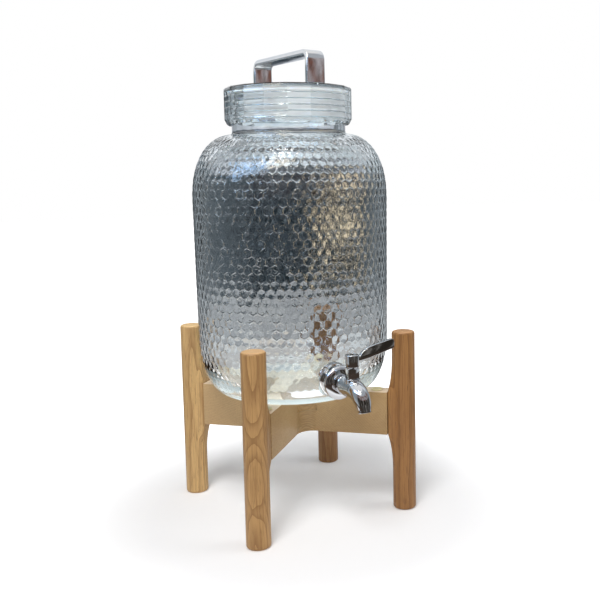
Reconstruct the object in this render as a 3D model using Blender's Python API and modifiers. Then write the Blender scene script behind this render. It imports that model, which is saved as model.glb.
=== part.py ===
"""Cold drink dispenser: a glass jar with a faceted screw lid and a lever tap, standing in a wooden stand.

Metres, +Z up, the tap points along -Y. The origin is on the floor, under the middle of the whole object.
Each object is one physical piece, but for the jar's glass, which is one piece in reality and three bands
here, so that each band is a simple ring or bowl. Empties hold the frames that the pieces are placed in.
"""
import math

import bmesh
import bpy
from mathutils import Matrix

MM = 0.001

# Clearances and helpers' sizes
GAP = 0.3 * MM
OVERRUN = 2.0 * MM
MERGE = 0.01 * MM

# Jar
JAR_RADIUS = 92.6 * MM
WALL_TAPER = 1.2 * MM
CORNER_REACH = 25.4 * MM
CORNER_HEIGHT = 52.0 * MM
STRAIGHT_HEIGHT = 133.0 * MM
SHOULDER_REACH = 38.8 * MM
SHOULDER_HEIGHT = 60.0 * MM
SHOULDER_POWER = 2.2
NECK_HEIGHT = 36.6 * MM
WALL_GLASS = 4.5 * MM
FLOOR_GLASS = 8.0 * MM
NECK_GLASS = 3.5 * MM
RIM_ROUND = 1.4 * MM
THREAD_LEAD = 9.4 * MM
THREAD_PROUD = 1.6 * MM
THREAD_WIDTH = 3.2 * MM
THREAD_START = 14.0 * MM
THREAD_TURNS = 2
THREAD_CLEARANCE = 0.6 * MM
NECK_BAND_SHARE = 0.35

# Tap seat in the glass
TAP_RISE = 24.3 * MM
BOSS_PROUD = 0.8 * MM
BOSS_INSET = 1.8 * MM
BOSS_DEPTH = 8.9 * MM
BOSS_DRAFT = 2.5 * MM
POCKET_MARGIN = 0.8 * MM

# Lid, its seal and its handle
LID_HEIGHT = 34.0 * MM
LID_PLATE = 4.5 * MM
LID_WALL = 3.6 * MM
LID_TOP_CHAMFER = 1.3 * MM
LID_FOOT_HEIGHT = 4.2 * MM
LID_FOOT_INSET = 2.4 * MM
LID_FACETS = 18
LID_TURN = 5.4
SEAL_THICKNESS = 1.5 * MM
SEAL_OVERLAP = 0.6 * MM
HANDLE_FROM_EDGE = 13.5 * MM
HANDLE_HEIGHT = 31.2 * MM
HANDLE_WIDTH = 19.2 * MM
HANDLE_THICKNESS = 5.0 * MM
HANDLE_OUTER_ROUND = 9.0 * MM
HANDLE_INNER_ROUND = 4.0 * MM
HANDLE_EDGE = 1.4 * MM
HANDLE_TURN = 2.4
SCREW_RADIUS = 1.3 * MM
SCREW_HEAD_RADIUS = 2.9 * MM
SCREW_HEAD_HEIGHT = 1.7 * MM
SCREW_REACH = 9.0 * MM

# Stand
LEG_RADIUS = 11.0 * MM
LEG_HEIGHT = 173.3 * MM
LEG_ROUND = 2.4 * MM
LEG_TO_JAR = 5.3 * MM
FLARE_DEPTH = 3.2 * MM
FLARE_RISE = 34.0 * MM
FLARE_FALL = 34.0 * MM
RAIL_THICKNESS = 18.0 * MM
RAIL_HEIGHT = 41.5 * MM
RAIL_DROP = 58.6 * MM
RAIL_FILLET = 15.0 * MM
DOWEL_RADIUS = 4.0 * MM
DOWEL_HALF_LENGTH = 13.0 * MM
DOWEL_FROM_EDGE = 9.8 * MM
STAND_TURN = 2.3
BUMPER_RADIUS = 5.5 * MM
BUMPER_THICKNESS = 1.5 * MM
BUMPER_FROM_SEAT = 12.0 * MM

# Tap, measured outward along its own axis
SHANK_RADIUS = 8.0 * MM
SHANK_TAIL = 3.0 * MM
WASHER_WIDTH = 4.4 * MM
WASHER_THICKNESS = 1.6 * MM
NUT_WIDTH = 4.0 * MM
NUT_THICKNESS = 6.0 * MM
NUT_CHAMFER = 1.0 * MM
FLANGE_WIDTH = 7.3 * MM
FLANGE_EDGE = 1.5 * MM
FLANGE_THROAT_RADIUS = 7.4 * MM
FLANGE_DOME = 4.2 * MM
STEM_FROM_FLANGE = 24.7 * MM
BODY_FROM_FLANGE = 9.6 * MM
BODY_EDGE = 0.7 * MM
BODY_RADIUS = 9.0 * MM
BODY_WAIST_RADIUS = 8.3 * MM
SPOUT_RADIUS = 5.7 * MM
SPOUT_WALL = 1.4 * MM
SPOUT_STRAIGHT = 2.5 * MM
SPOUT_BEND = 18.0 * MM
SPOUT_TAIL = 3.4 * MM
SPOUT_ANGLE = 75.0
SPOUT_TAPER_POWER = 2.7
INLET_BORE = 4.2 * MM
CHAMBER_RADIUS = 5.3 * MM
NECKLET_WALL = 1.6 * MM
NECKLET_HEIGHT = 8.6 * MM
PLUG_HALF_HEIGHT = 4.6 * MM
PLUG_PORT_RADIUS = 2.8 * MM
STEM_RADIUS = 2.4 * MM
PACKING_RADIUS = 0.85 * MM
BONNET_OVERHANG = 0.8 * MM
BONNET_HEIGHT = 9.9 * MM
BONNET_CHAMFER = 2.2 * MM

# Lever
HUB_RADIUS = 6.0 * MM
HUB_HEIGHT = 10.4 * MM
HUB_ROUND = 0.7 * MM
HUB_WALL = 2.1 * MM
HUB_RECESS_DEPTH = 1.7 * MM
HUB_WEB = 2.0 * MM
LEVER_SCREW_RADIUS = 1.2 * MM
LEVER_SCREW_REACH = 7.0 * MM
LEVER_LENGTH = 41.5 * MM
LEVER_THICKNESS = 3.4 * MM
LEVER_EDGE = 0.8 * MM
LEVER_END_ROUND = 3.0 * MM
LEVER_ROOT_SHARES = (0.42, 0.80)
LEVER_END_SHARES = (1.06, 1.92)
LEVER_BLADE_SHARES = ((0.16, 0.42, 0.82), (0.22, 0.44, 1.06), (0.32, 0.50, 1.34), (0.45, 0.60, 1.54))

# Facets of the round pieces
JAR_STEPS = 56
THREAD_STEPS = 30
PIECE_STEPS = 30
LEG_BACK_STEPS = 12
FLARE_STEPS = 5
SMALL_STEPS = 20
ARC_STEPS = 6
FLAT_ANGLE = 0.05

# Levels and distances that follow from the sizes above
WALL_FOOT_RADIUS = JAR_RADIUS - WALL_TAPER
BASE_RADIUS = WALL_FOOT_RADIUS - CORNER_REACH
NECK_RADIUS = JAR_RADIUS - SHOULDER_REACH
MOUTH_RADIUS = NECK_RADIUS - NECK_GLASS
LID_BORE = NECK_RADIUS + THREAD_PROUD + THREAD_CLEARANCE
LID_RADIUS = (LID_BORE + LID_WALL) / math.cos(math.pi / LID_FACETS)
HANDLE_HALF_SPAN = LID_RADIUS - HANDLE_FROM_EDGE
LEG_OFFSET = JAR_RADIUS + LEG_TO_JAR + LEG_RADIUS
SEAT_DISTANCE = LEG_OFFSET - LEG_RADIUS - FLARE_DEPTH
RAIL_TOP = LEG_HEIGHT - RAIL_DROP
RAIL_BOTTOM = RAIL_TOP - RAIL_HEIGHT
JAR_BASE = RAIL_TOP + GAP
WALL_BOTTOM = JAR_BASE + CORNER_HEIGHT
WALL_TOP = WALL_BOTTOM + STRAIGHT_HEIGHT
NECK_FOOT = WALL_TOP + SHOULDER_HEIGHT
RIM_Z = NECK_FOOT + NECK_HEIGHT
SEAL_BOTTOM = RIM_Z + GAP
PLATE_UNDERSIDE = SEAL_BOTTOM + SEAL_THICKNESS + GAP
LID_TOP = PLATE_UNDERSIDE + LID_PLATE
LID_BOTTOM = LID_TOP - LID_HEIGHT
TAP_Z = JAR_BASE + TAP_RISE
FLANGE_RADIUS = SHANK_RADIUS + FLANGE_WIDTH
NUT_RADIUS = SHANK_RADIUS + NUT_WIDTH
WASHER_RADIUS = SHANK_RADIUS + WASHER_WIDTH
BOSS_RADIUS = FLANGE_RADIUS - BOSS_INSET
POCKET_RADIUS = NUT_RADIUS + POCKET_MARGIN
BOSS_FACE = JAR_RADIUS + BOSS_PROUD
SEAT_FACE = BOSS_FACE - BOSS_DEPTH
FLANGE_BACK = BOSS_FACE + WASHER_THICKNESS + 2 * GAP
STEM_REACH = FLANGE_BACK + STEM_FROM_FLANGE
BASE_BAND_TOP = TAP_Z + BOSS_RADIUS + BOSS_DRAFT + GAP
WALL_BAND_TOP = WALL_TOP + SHOULDER_HEIGHT * NECK_BAND_SHARE
SHANK_END = SEAT_FACE - WASHER_THICKNESS - NUT_THICKNESS - 2 * GAP - SHANK_TAIL
SPOUT_BORE = SPOUT_RADIUS - SPOUT_WALL
BONNET_RADIUS = CHAMBER_RADIUS + BONNET_OVERHANG
NECKLET_TOP = TAP_Z + NECKLET_HEIGHT
BONNET_TOP = NECKLET_TOP + GAP + BONNET_HEIGHT
HUB_BOTTOM = BONNET_TOP + GAP
HUB_TOP = HUB_BOTTOM + HUB_HEIGHT
RECESS_FLOOR = HUB_TOP - HUB_RECESS_DEPTH
STEM_TOP = RECESS_FLOOR - HUB_WEB - GAP
BEND_END = math.radians(SPOUT_ANGLE)
MOUTH_REACH = (STEM_REACH + SPOUT_STRAIGHT + SPOUT_BEND * math.sin(BEND_END)
               + SPOUT_TAIL * math.cos(BEND_END))
MOUTH_DROP = SPOUT_BEND * (1 - math.cos(BEND_END)) + SPOUT_TAIL * math.sin(BEND_END)
FRONT_REACH = MOUTH_REACH + SPOUT_RADIUS * math.sin(BEND_END)
JAR_AXIS_Y = (FRONT_REACH - JAR_RADIUS) / 2


# Scene, frames and materials

def clear_scene():
    for item in list(bpy.data.objects):
        bpy.data.objects.remove(item)
    for group in list(bpy.data.collections):
        bpy.data.collections.remove(group)


def make_collection(name):
    group = bpy.data.collections.new(name)
    bpy.context.scene.collection.children.link(group)
    return group


def make_frame(name, parent=None, location=(0, 0, 0), rotation=(0, 0, 0)):
    """An empty that the pieces of one assembly are placed in."""
    empty = bpy.data.objects.new(name, None)
    PARTS.objects.link(empty)
    empty.parent = parent
    empty.location = location
    empty.rotation_euler = rotation
    return empty


def make_material(name, color, roughness, metallic=0.0, transmission=0.0):
    material = bpy.data.materials.new(name)
    material.use_nodes = True
    shader = material.node_tree.nodes["Principled BSDF"]
    shader.inputs["Base Color"].default_value = (*color, 1.0)
    shader.inputs["Roughness"].default_value = roughness
    shader.inputs["Metallic"].default_value = metallic
    shader.inputs["Transmission Weight"].default_value = transmission
    return material


# Shapes

def place(name, data, frame, material, location=(0, 0, 0), rotation=(0, 0, 0)):
    """Links a mesh or curve into the parts, or into the cutters when it has no material."""
    item = bpy.data.objects.new(name, data)
    (PARTS if material else CUTTERS).objects.link(item)
    item.parent = frame
    item.location = location
    item.rotation_euler = rotation
    if material:
        data.materials.append(material)
    else:
        item.hide_render = True
        item.display_type = "WIRE"
    return item


def turned(name, profile, frame, material=None, steps=PIECE_STEPS, ring=False, location=(0, 0, 0),
           rotation=(0, 0, 0)):
    """A profile of (radius, height) points turned about the frame's Z axis. A ring's profile is closed."""
    points = [(radius, 0, height) for radius, height in profile]
    edges = [(i, i + 1) for i in range(len(points) - 1)]
    if ring:
        edges.append((len(points) - 1, 0))
    mesh = bpy.data.meshes.new(name)
    mesh.from_pydata(points, edges, [])
    item = place(name, mesh, frame, material, location, rotation)
    screw = item.modifiers.new("turn", "SCREW")
    screw.axis = "Z"
    screw.steps = screw.render_steps = steps
    screw.use_merge_vertices = True
    screw.merge_threshold = MERGE
    screw.use_smooth_shade = True
    return item


def cylinder(name, radius, bottom, top, frame, material=None, steps=SMALL_STEPS, top_radius=None,
             location=(0, 0, 0), rotation=(0, 0, 0)):
    """A cylinder or cone about the frame's Z axis. Its corners miss the seams of what it cuts."""
    mesh = bpy.data.meshes.new(name)
    bm = bmesh.new()
    bmesh.ops.create_cone(bm, cap_ends=True, segments=steps, radius1=radius, radius2=top_radius or radius,
                          depth=top - bottom, matrix=Matrix.Rotation(math.pi / (4 * steps), 4, "Z"))
    bmesh.ops.translate(bm, verts=bm.verts, vec=(0, 0, (top + bottom) / 2))
    bm.to_mesh(mesh)
    bm.free()
    mesh.shade_smooth()
    mesh.set_sharp_from_angle(angle=math.radians(40))
    return place(name, mesh, frame, material, location, rotation)


def block(name, size, frame, material=None, location=(0, 0, 0), rotation=(0, 0, 0)):
    """A box of the given size about its centre."""
    mesh = bpy.data.meshes.new(name)
    bm = bmesh.new()
    bmesh.ops.create_cube(bm, size=1)
    bmesh.ops.scale(bm, vec=size, verts=bm.verts)
    bm.to_mesh(mesh)
    bm.free()
    return place(name, mesh, frame, material, location, rotation)


def to_mesh(curve_item):
    """The evaluated mesh of a curve object, with its caps welded on."""
    bpy.context.view_layer.update()
    graph = bpy.context.evaluated_depsgraph_get()
    mesh = bpy.data.meshes.new_from_object(curve_item.evaluated_get(graph))
    bm = bmesh.new()
    bm.from_mesh(mesh)
    bmesh.ops.remove_doubles(bm, verts=bm.verts, dist=MERGE)
    bmesh.ops.dissolve_degenerate(bm, dist=MERGE, edges=bm.edges)
    bmesh.ops.dissolve_limit(bm, angle_limit=math.radians(FLAT_ANGLE), verts=bm.verts, edges=bm.edges)
    bmesh.ops.recalc_face_normals(bm, faces=bm.faces)
    bm.to_mesh(mesh)
    bm.free()
    return mesh


def solid_from(curve, name, frame, material, location=(0, 0, 0), rotation=(0, 0, 0)):
    """Turns a curve into a solid mesh object in the given frame."""
    guide = place(name + "_guide", curve, None, None)
    mesh = to_mesh(guide)
    bpy.data.objects.remove(guide)
    return place(name, mesh, frame, material, location, rotation)


def plate(name, outline, thickness, frame, material=None, location=(0, 0, 0), rotation=(0, 0, 0)):
    """A flat outline in the frame's XY plane, as thick as given, half on each side."""
    curve = bpy.data.curves.new(name, "CURVE")
    curve.dimensions = "2D"
    curve.fill_mode = "BOTH"
    curve.extrude = thickness / 2
    spline = curve.splines.new("POLY")
    spline.points.add(len(outline) - 1)
    for point, (x, y) in zip(spline.points, outline):
        point.co = (x, y, 0, 1)
    spline.use_cyclic_u = True
    return solid_from(curve, name, frame, material, location, rotation)


def tube(name, path, radii, frame, material=None, resolution=5):
    """A round tube along a path, with its own radius at each point and flat closed ends."""
    curve = bpy.data.curves.new(name, "CURVE")
    curve.dimensions = "3D"
    curve.fill_mode = "FULL"
    curve.bevel_depth = SPOUT_RADIUS
    curve.bevel_resolution = resolution
    curve.use_fill_caps = True
    spline = curve.splines.new("POLY")
    spline.points.add(len(path) - 1)
    for point, place_at, radius in zip(spline.points, path, radii):
        point.co = (*place_at, 1)
        point.radius = radius / SPOUT_RADIUS
    spline.use_smooth = True
    return solid_from(curve, name, frame, material)


def combine(item, other, operation):
    modifier = item.modifiers.new(operation.lower(), "BOOLEAN")
    modifier.object = other
    modifier.operation = operation


def cut(item, *cutters):
    for cutter in cutters:
        combine(item, cutter, "DIFFERENCE")


def join(item, *others):
    for other in others:
        combine(item, other, "UNION")


def soften(item, width, segments=2, angle=35):
    """Rounds the sharp edges of a piece."""
    modifier = item.modifiers.new("soften", "BEVEL")
    modifier.width = width
    modifier.segments = segments
    modifier.limit_method = "ANGLE"
    modifier.angle_limit = math.radians(angle)


def arc(center_x, center_y, radius_x, radius_y, start, end, steps=ARC_STEPS):
    """Points on an ellipse's arc, from one angle in degrees to another, ends included."""
    angles = [math.radians(start + (end - start) * i / steps) for i in range(steps + 1)]
    return [(center_x + radius_x * math.cos(a), center_y + radius_y * math.sin(a)) for a in angles]


def full_arc(center_x, center_y, radius_x, radius_y, steps):
    """A quarter of a curve that is a little fuller than an ellipse, from the side to the top."""
    angles = [math.pi / 2 * i / steps for i in range(steps)]
    power = 2 / SHOULDER_POWER
    points = [(center_x + radius_x * math.cos(a) ** power, center_y + radius_y * math.sin(a) ** power)
              for a in angles]
    return points + [(center_x, center_y + radius_y)]


# Jar

def jar_outline():
    """Half of the jar's section: up its inside from the floor's middle, then down its outside."""
    inner_radius = JAR_RADIUS - WALL_GLASS
    floor_radius = BASE_RADIUS - WALL_GLASS
    floor_z = JAR_BASE + FLOOR_GLASS
    inner_corner = arc(floor_radius, WALL_BOTTOM, CORNER_REACH, WALL_BOTTOM - floor_z, -90, 0, 5)
    inner_shoulder = full_arc(MOUTH_RADIUS, WALL_TOP, inner_radius - MOUTH_RADIUS,
                              SHOULDER_HEIGHT - WALL_GLASS, 6)
    rim = arc(MOUTH_RADIUS + RIM_ROUND, RIM_Z - RIM_ROUND, RIM_ROUND, RIM_ROUND, 180, 90, 2)
    rim += arc(NECK_RADIUS - RIM_ROUND, RIM_Z - RIM_ROUND, RIM_ROUND, RIM_ROUND, 90, 0, 2)
    shoulder = full_arc(NECK_RADIUS, WALL_TOP, SHOULDER_REACH, SHOULDER_HEIGHT, 8)[::-1]
    corner = arc(BASE_RADIUS, WALL_BOTTOM, CORNER_REACH, CORNER_HEIGHT, 0, -90, 8)
    inside = [(0, floor_z)] + inner_corner + inner_shoulder
    return inside + rim + shoulder + corner + [(0, JAR_BASE)]


def thread_ridge(name, root, crest, frame, start_angle=0.0):
    """A helical ridge from its root radius to its crest, wound on a screw and closed at both ends."""
    half = THREAD_WIDTH / 2
    start = NECK_FOOT + THREAD_START
    profile = [(root, start + half), (crest, start + half / 2), (crest, start - half / 2),
               (root, start - half)]
    ridge = turned(name + "_winding", profile, frame, ring=True, steps=THREAD_STEPS * THREAD_TURNS)
    screw = ridge.modifiers["turn"]
    screw.angle = 2 * math.pi * THREAD_TURNS
    screw.screw_offset = THREAD_LEAD * THREAD_TURNS
    screw.use_merge_vertices = False
    bpy.context.view_layer.update()
    graph = bpy.context.evaluated_depsgraph_get()
    mesh = bpy.data.meshes.new_from_object(ridge.evaluated_get(graph))
    bpy.data.objects.remove(ridge)
    bm = bmesh.new()
    bm.from_mesh(mesh)
    bmesh.ops.holes_fill(bm, edges=[edge for edge in bm.edges if edge.is_boundary])
    bmesh.ops.recalc_face_normals(bm, faces=bm.faces)
    bm.to_mesh(mesh)
    bm.free()
    return place(name, mesh, frame, None, rotation=(0, 0, start_angle))


def jar_band(name, bottom, top, jar_frame, material):
    """The part of the jar's glass between two levels."""
    band = turned(name, jar_outline(), jar_frame, material, steps=JAR_STEPS)
    slab = cylinder(name + "_slab", JAR_RADIUS + OVERRUN, bottom, top, jar_frame, steps=JAR_STEPS)
    combine(band, slab, "INTERSECT")
    return band


def make_jar(jar_frame, tap_frame, material):
    base = jar_band("jar_base", JAR_BASE - OVERRUN, BASE_BAND_TOP, jar_frame, material)
    jar_band("jar_wall", BASE_BAND_TOP + GAP, WALL_BAND_TOP, jar_frame, material)
    neck = jar_band("jar_neck", WALL_BAND_TOP + GAP, RIM_Z + OVERRUN, jar_frame, material)
    boss = cylinder("tap_boss", BOSS_RADIUS + BOSS_DRAFT, SEAT_FACE - WALL_GLASS, BOSS_FACE, tap_frame,
                    steps=PIECE_STEPS, top_radius=BOSS_RADIUS)
    pocket = cylinder("nut_pocket", POCKET_RADIUS, SHANK_END - SHANK_TAIL, SEAT_FACE, tap_frame,
                      steps=PIECE_STEPS)
    bore = cylinder("tap_hole", SHANK_RADIUS + GAP, SHANK_END, FLANGE_BACK, tap_frame)
    join(base, boss)
    cut(base, pocket, bore)
    join(neck, thread_ridge("jar_thread", NECK_RADIUS - NECK_GLASS / 2, NECK_RADIUS + THREAD_PROUD, jar_frame))


# Lid

def make_lid(lid_frame, handle_frame, lid_material, seal_material, metal):
    foot_z = LID_BOTTOM + LID_FOOT_HEIGHT
    outline = [(0, LID_TOP), (LID_RADIUS - LID_TOP_CHAMFER, LID_TOP), (LID_RADIUS, LID_TOP - LID_TOP_CHAMFER),
               (LID_RADIUS, foot_z), (LID_RADIUS - LID_FOOT_INSET, LID_BOTTOM), (0, LID_BOTTOM)]
    lid = turned("lid", outline, lid_frame, lid_material, steps=LID_FACETS)
    lid.modifiers["turn"].use_smooth_shade = False
    cut(lid, cylinder("lid_hollow", LID_BORE, LID_BOTTOM - OVERRUN, PLATE_UNDERSIDE, lid_frame,
                      steps=JAR_STEPS))
    half_turn_on = math.pi - math.radians(LID_TURN)
    join(lid, thread_ridge("lid_thread", LID_BORE + LID_WALL / 2, NECK_RADIUS + THREAD_CLEARANCE, lid_frame,
                           half_turn_on))

    seal_inner = MOUTH_RADIUS - SEAL_OVERLAP
    seal_outer = NECK_RADIUS + SEAL_OVERLAP
    seal_top = SEAL_BOTTOM + SEAL_THICKNESS
    ring = [(seal_inner, seal_top), (seal_outer, seal_top), (seal_outer, SEAL_BOTTOM),
            (seal_inner, SEAL_BOTTOM)]
    turned("lid_seal", ring, lid_frame, seal_material, steps=48, ring=True)

    handle = make_handle(handle_frame, metal)
    for side, name in ((-1, "front"), (1, "back")):
        spot = (0, side * HANDLE_HALF_SPAN, 0)
        turned("handle_screw_" + name, screw_outline(0), handle_frame, metal, steps=SMALL_STEPS, location=spot)
        cutter = turned("screw_hole_" + name, screw_outline(GAP), handle_frame, steps=SMALL_STEPS,
                        location=spot)
        cut(lid, cutter)
        cut(handle, cutter)


def screw_outline(clearance):
    """A countersunk screw seen from its side, flush with the underside of the lid's plate."""
    head_z = PLATE_UNDERSIDE - (OVERRUN if clearance else 0)
    neck_z = PLATE_UNDERSIDE + SCREW_HEAD_HEIGHT + clearance
    tip_z = LID_TOP + SCREW_REACH + clearance
    shank = SCREW_RADIUS + clearance
    head = SCREW_HEAD_RADIUS + clearance
    return [(0, tip_z), (shank, tip_z), (shank, neck_z), (head, PLATE_UNDERSIDE + clearance),
            (head, head_z), (0, head_z)]


def make_handle(handle_frame, metal):
    """A strap bent into a bridge: its side outline, as thick as the strap is wide."""
    outer = HANDLE_HALF_SPAN + HANDLE_THICKNESS / 2
    inner = HANDLE_HALF_SPAN - HANDLE_THICKNESS / 2
    foot = LID_TOP + GAP
    top = LID_TOP + HANDLE_HEIGHT
    under = top - HANDLE_THICKNESS
    outer_x, outer_z = outer - HANDLE_OUTER_ROUND, top - HANDLE_OUTER_ROUND
    inner_x, inner_z = inner - HANDLE_INNER_ROUND, under - HANDLE_INNER_ROUND
    half = [(outer, foot)] + arc(outer_x, outer_z, HANDLE_OUTER_ROUND, HANDLE_OUTER_ROUND, 0, 90)
    inside = arc(inner_x, inner_z, HANDLE_INNER_ROUND, HANDLE_INNER_ROUND, 90, 0, 4) + [(inner, foot)]
    outline = half + [(-x, z) for x, z in reversed(half)]
    outline += [(-x, z) for x, z in reversed(inside)] + inside
    handle = plate("lid_handle", outline, HANDLE_WIDTH, handle_frame, metal,
                   rotation=(math.pi / 2, 0, math.pi / 2))
    soften(handle, HANDLE_EDGE, segments=3)
    return handle


# Stand

def leg_section(radius, weight):
    """Points round a leg, from a circle at weight 0 to the full flare, whose flat at +X carries the rail."""
    seat = LEG_RADIUS + FLARE_DEPTH
    half = RAIL_THICKNESS / 2
    corner = math.atan2(half, seat)
    side = math.asin(half / LEG_RADIUS)
    angles = [0, corner / 2, corner, (corner + side) / 2]
    angles += [side + (math.pi - side) * i / LEG_BACK_STEPS for i in range(LEG_BACK_STEPS + 1)]
    angles += [-a for a in reversed(angles[1:-1])]
    points = []
    for angle in angles:
        full = LEG_RADIUS
        if abs(angle) <= corner:
            full = seat / math.cos(angle)
        elif abs(angle) < side:
            full = half / abs(math.sin(angle))
        reach = radius + (full - LEG_RADIUS) * weight
        points.append((reach * math.cos(angle), reach * math.sin(angle)))
    return points


def leg_rings():
    """A leg's sections as (radius, weight of the flare, height), upwards from its rounded foot."""
    bottom = arc(LEG_RADIUS - LEG_ROUND, LEG_ROUND, LEG_ROUND, LEG_ROUND, -90, 0, 2)
    top = arc(LEG_RADIUS - LEG_ROUND, LEG_HEIGHT - LEG_ROUND, LEG_ROUND, LEG_ROUND, 0, 90, 2)
    rings = [(radius, 0, z) for radius, z in bottom]
    for i in range(FLARE_STEPS + 1):
        share = i / FLARE_STEPS
        rings.append((LEG_RADIUS, share ** 2, RAIL_BOTTOM - FLARE_FALL * (1 - share)))
    for i in range(FLARE_STEPS + 1):
        share = i / FLARE_STEPS
        rings.append((LEG_RADIUS, (1 - share) ** 2, RAIL_TOP + FLARE_RISE * share))
    return rings + [(radius, 0, z) for radius, z in top]


def loft(name, sections, frame, material):
    """A closed solid skinned over sections that have as many points each, flat at both ends."""
    bm = bmesh.new()
    rows = [[bm.verts.new(point) for point in section] for section in sections]
    count = len(rows[0])
    for lower, upper in zip(rows, rows[1:]):
        for i in range(count):
            k = (i + 1) % count
            bm.faces.new((lower[i], lower[k], upper[k], upper[i]))
    bm.faces.new(rows[0][::-1])
    bm.faces.new(rows[-1])
    mesh = bpy.data.meshes.new(name)
    bm.to_mesh(mesh)
    bm.free()
    mesh.shade_smooth()
    mesh.set_sharp_from_angle(angle=math.radians(40))
    return place(name, mesh, frame, material)


def dowel_levels():
    return (RAIL_BOTTOM + DOWEL_FROM_EDGE, RAIL_TOP - DOWEL_FROM_EDGE)


def make_leg(name, leg_frame, material, dowel_material):
    """One leg in its own frame, whose +X points to the stand's middle, with its two dowels."""
    sections = [[(x, y, z) for x, y in leg_section(radius, weight)] for radius, weight, z in leg_rings()]
    leg = loft(name + "_leg", sections, leg_frame, material)
    joint = LEG_RADIUS + FLARE_DEPTH + GAP / 2
    for number, level in enumerate(dowel_levels(), 1):
        turn = (0, math.pi / 2, 0)
        spot = (joint, 0, level)
        cut(leg, cylinder(f"{name}_leg_hole_{number}", DOWEL_RADIUS + GAP, -DOWEL_HALF_LENGTH - GAP,
                          DOWEL_HALF_LENGTH, leg_frame, location=spot, rotation=turn))
        cylinder(f"{name}_dowel_{number}", DOWEL_RADIUS, -DOWEL_HALF_LENGTH, DOWEL_HALF_LENGTH, leg_frame,
                 dowel_material, location=spot, rotation=turn)


def hub_outline():
    """The middle of the cross in plan: four short arms with rounded inner corners between them."""
    far = RAIL_THICKNESS / 2 + RAIL_FILLET
    corner = arc(far, far, RAIL_FILLET, RAIL_FILLET, 180, 270)
    right = corner + [(x, -y) for x, y in reversed(corner)]
    return right + [(-x, -y) for x, y in right]


def make_rail(name, stand_frame, material, bearing, keeps_top):
    """One rail of the cross. Where the two rails cross, each keeps one half of its height."""
    turn = (0, 0, math.radians(bearing))
    middle = RAIL_BOTTOM + RAIL_HEIGHT / 2
    length = 2 * (SEAT_DISTANCE - GAP)
    rail = block(name, (length, RAIL_THICKNESS, RAIL_HEIGHT), stand_frame, material,
                 location=(0, 0, middle), rotation=turn)
    join(rail, plate(name + "_hub", hub_outline(), RAIL_HEIGHT, stand_frame, location=(0, 0, middle),
                     rotation=turn))
    hub = RAIL_THICKNESS + 2 * (RAIL_FILLET + GAP)
    lap_height = RAIL_HEIGHT / 2 + OVERRUN
    side = -1 if keeps_top else 1
    lap_z = middle + side * (lap_height / 2 - GAP / 2)
    cut(rail, block(name + "_lap", (hub, hub, lap_height), stand_frame, location=(0, 0, lap_z),
                    rotation=turn))
    for end in (-1, 1):
        for number, level in enumerate(dowel_levels(), 1):
            distance = end * (SEAT_DISTANCE - GAP / 2)
            spot = (distance * math.cos(turn[2]), distance * math.sin(turn[2]), level)
            hole = cylinder(f"{name}_hole_{end + 1}_{number}", DOWEL_RADIUS + GAP, -DOWEL_HALF_LENGTH - GAP,
                            DOWEL_HALF_LENGTH + GAP, stand_frame, location=spot,
                            rotation=(0, math.pi / 2, turn[2]))
            cut(rail, hole)
    return rail


def make_stand(stand_frame, wood, rail_wood, bumper_material):
    for name, bearing in (("back_right", 45), ("back_left", 135), ("front_left", 225), ("front_right", 315)):
        angle = math.radians(bearing)
        leg_frame = make_frame(name + "_leg_frame", stand_frame,
                               (LEG_OFFSET * math.cos(angle), LEG_OFFSET * math.sin(angle), 0),
                               (0, 0, angle + math.pi))
        make_leg(name, leg_frame, wood, rail_wood)
        distance = SEAT_DISTANCE - BUMPER_FROM_SEAT
        top = RAIL_TOP + GAP + BUMPER_THICKNESS
        cylinder(name + "_bumper", BUMPER_RADIUS, RAIL_TOP + GAP, top, stand_frame, bumper_material,
                 location=(distance * math.cos(angle), distance * math.sin(angle), 0))
    make_rail("cross_rail_upper", stand_frame, rail_wood, 45, True)
    make_rail("cross_rail_lower", stand_frame, rail_wood, 135, False)


# Tap

def spout_path(start):
    """The body's centreline in the tap's frame: straight out, then bent down and a short tail."""
    bend_start = STEM_REACH + SPOUT_STRAIGHT
    path = [(start, 0), (STEM_REACH, 0)]
    steps = 10
    for i in range(steps + 1):
        angle = BEND_END * i / steps
        path.append((bend_start + SPOUT_BEND * math.sin(angle), -SPOUT_BEND * (1 - math.cos(angle))))
    path.append((MOUTH_REACH, -MOUTH_DROP))
    return path


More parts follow.
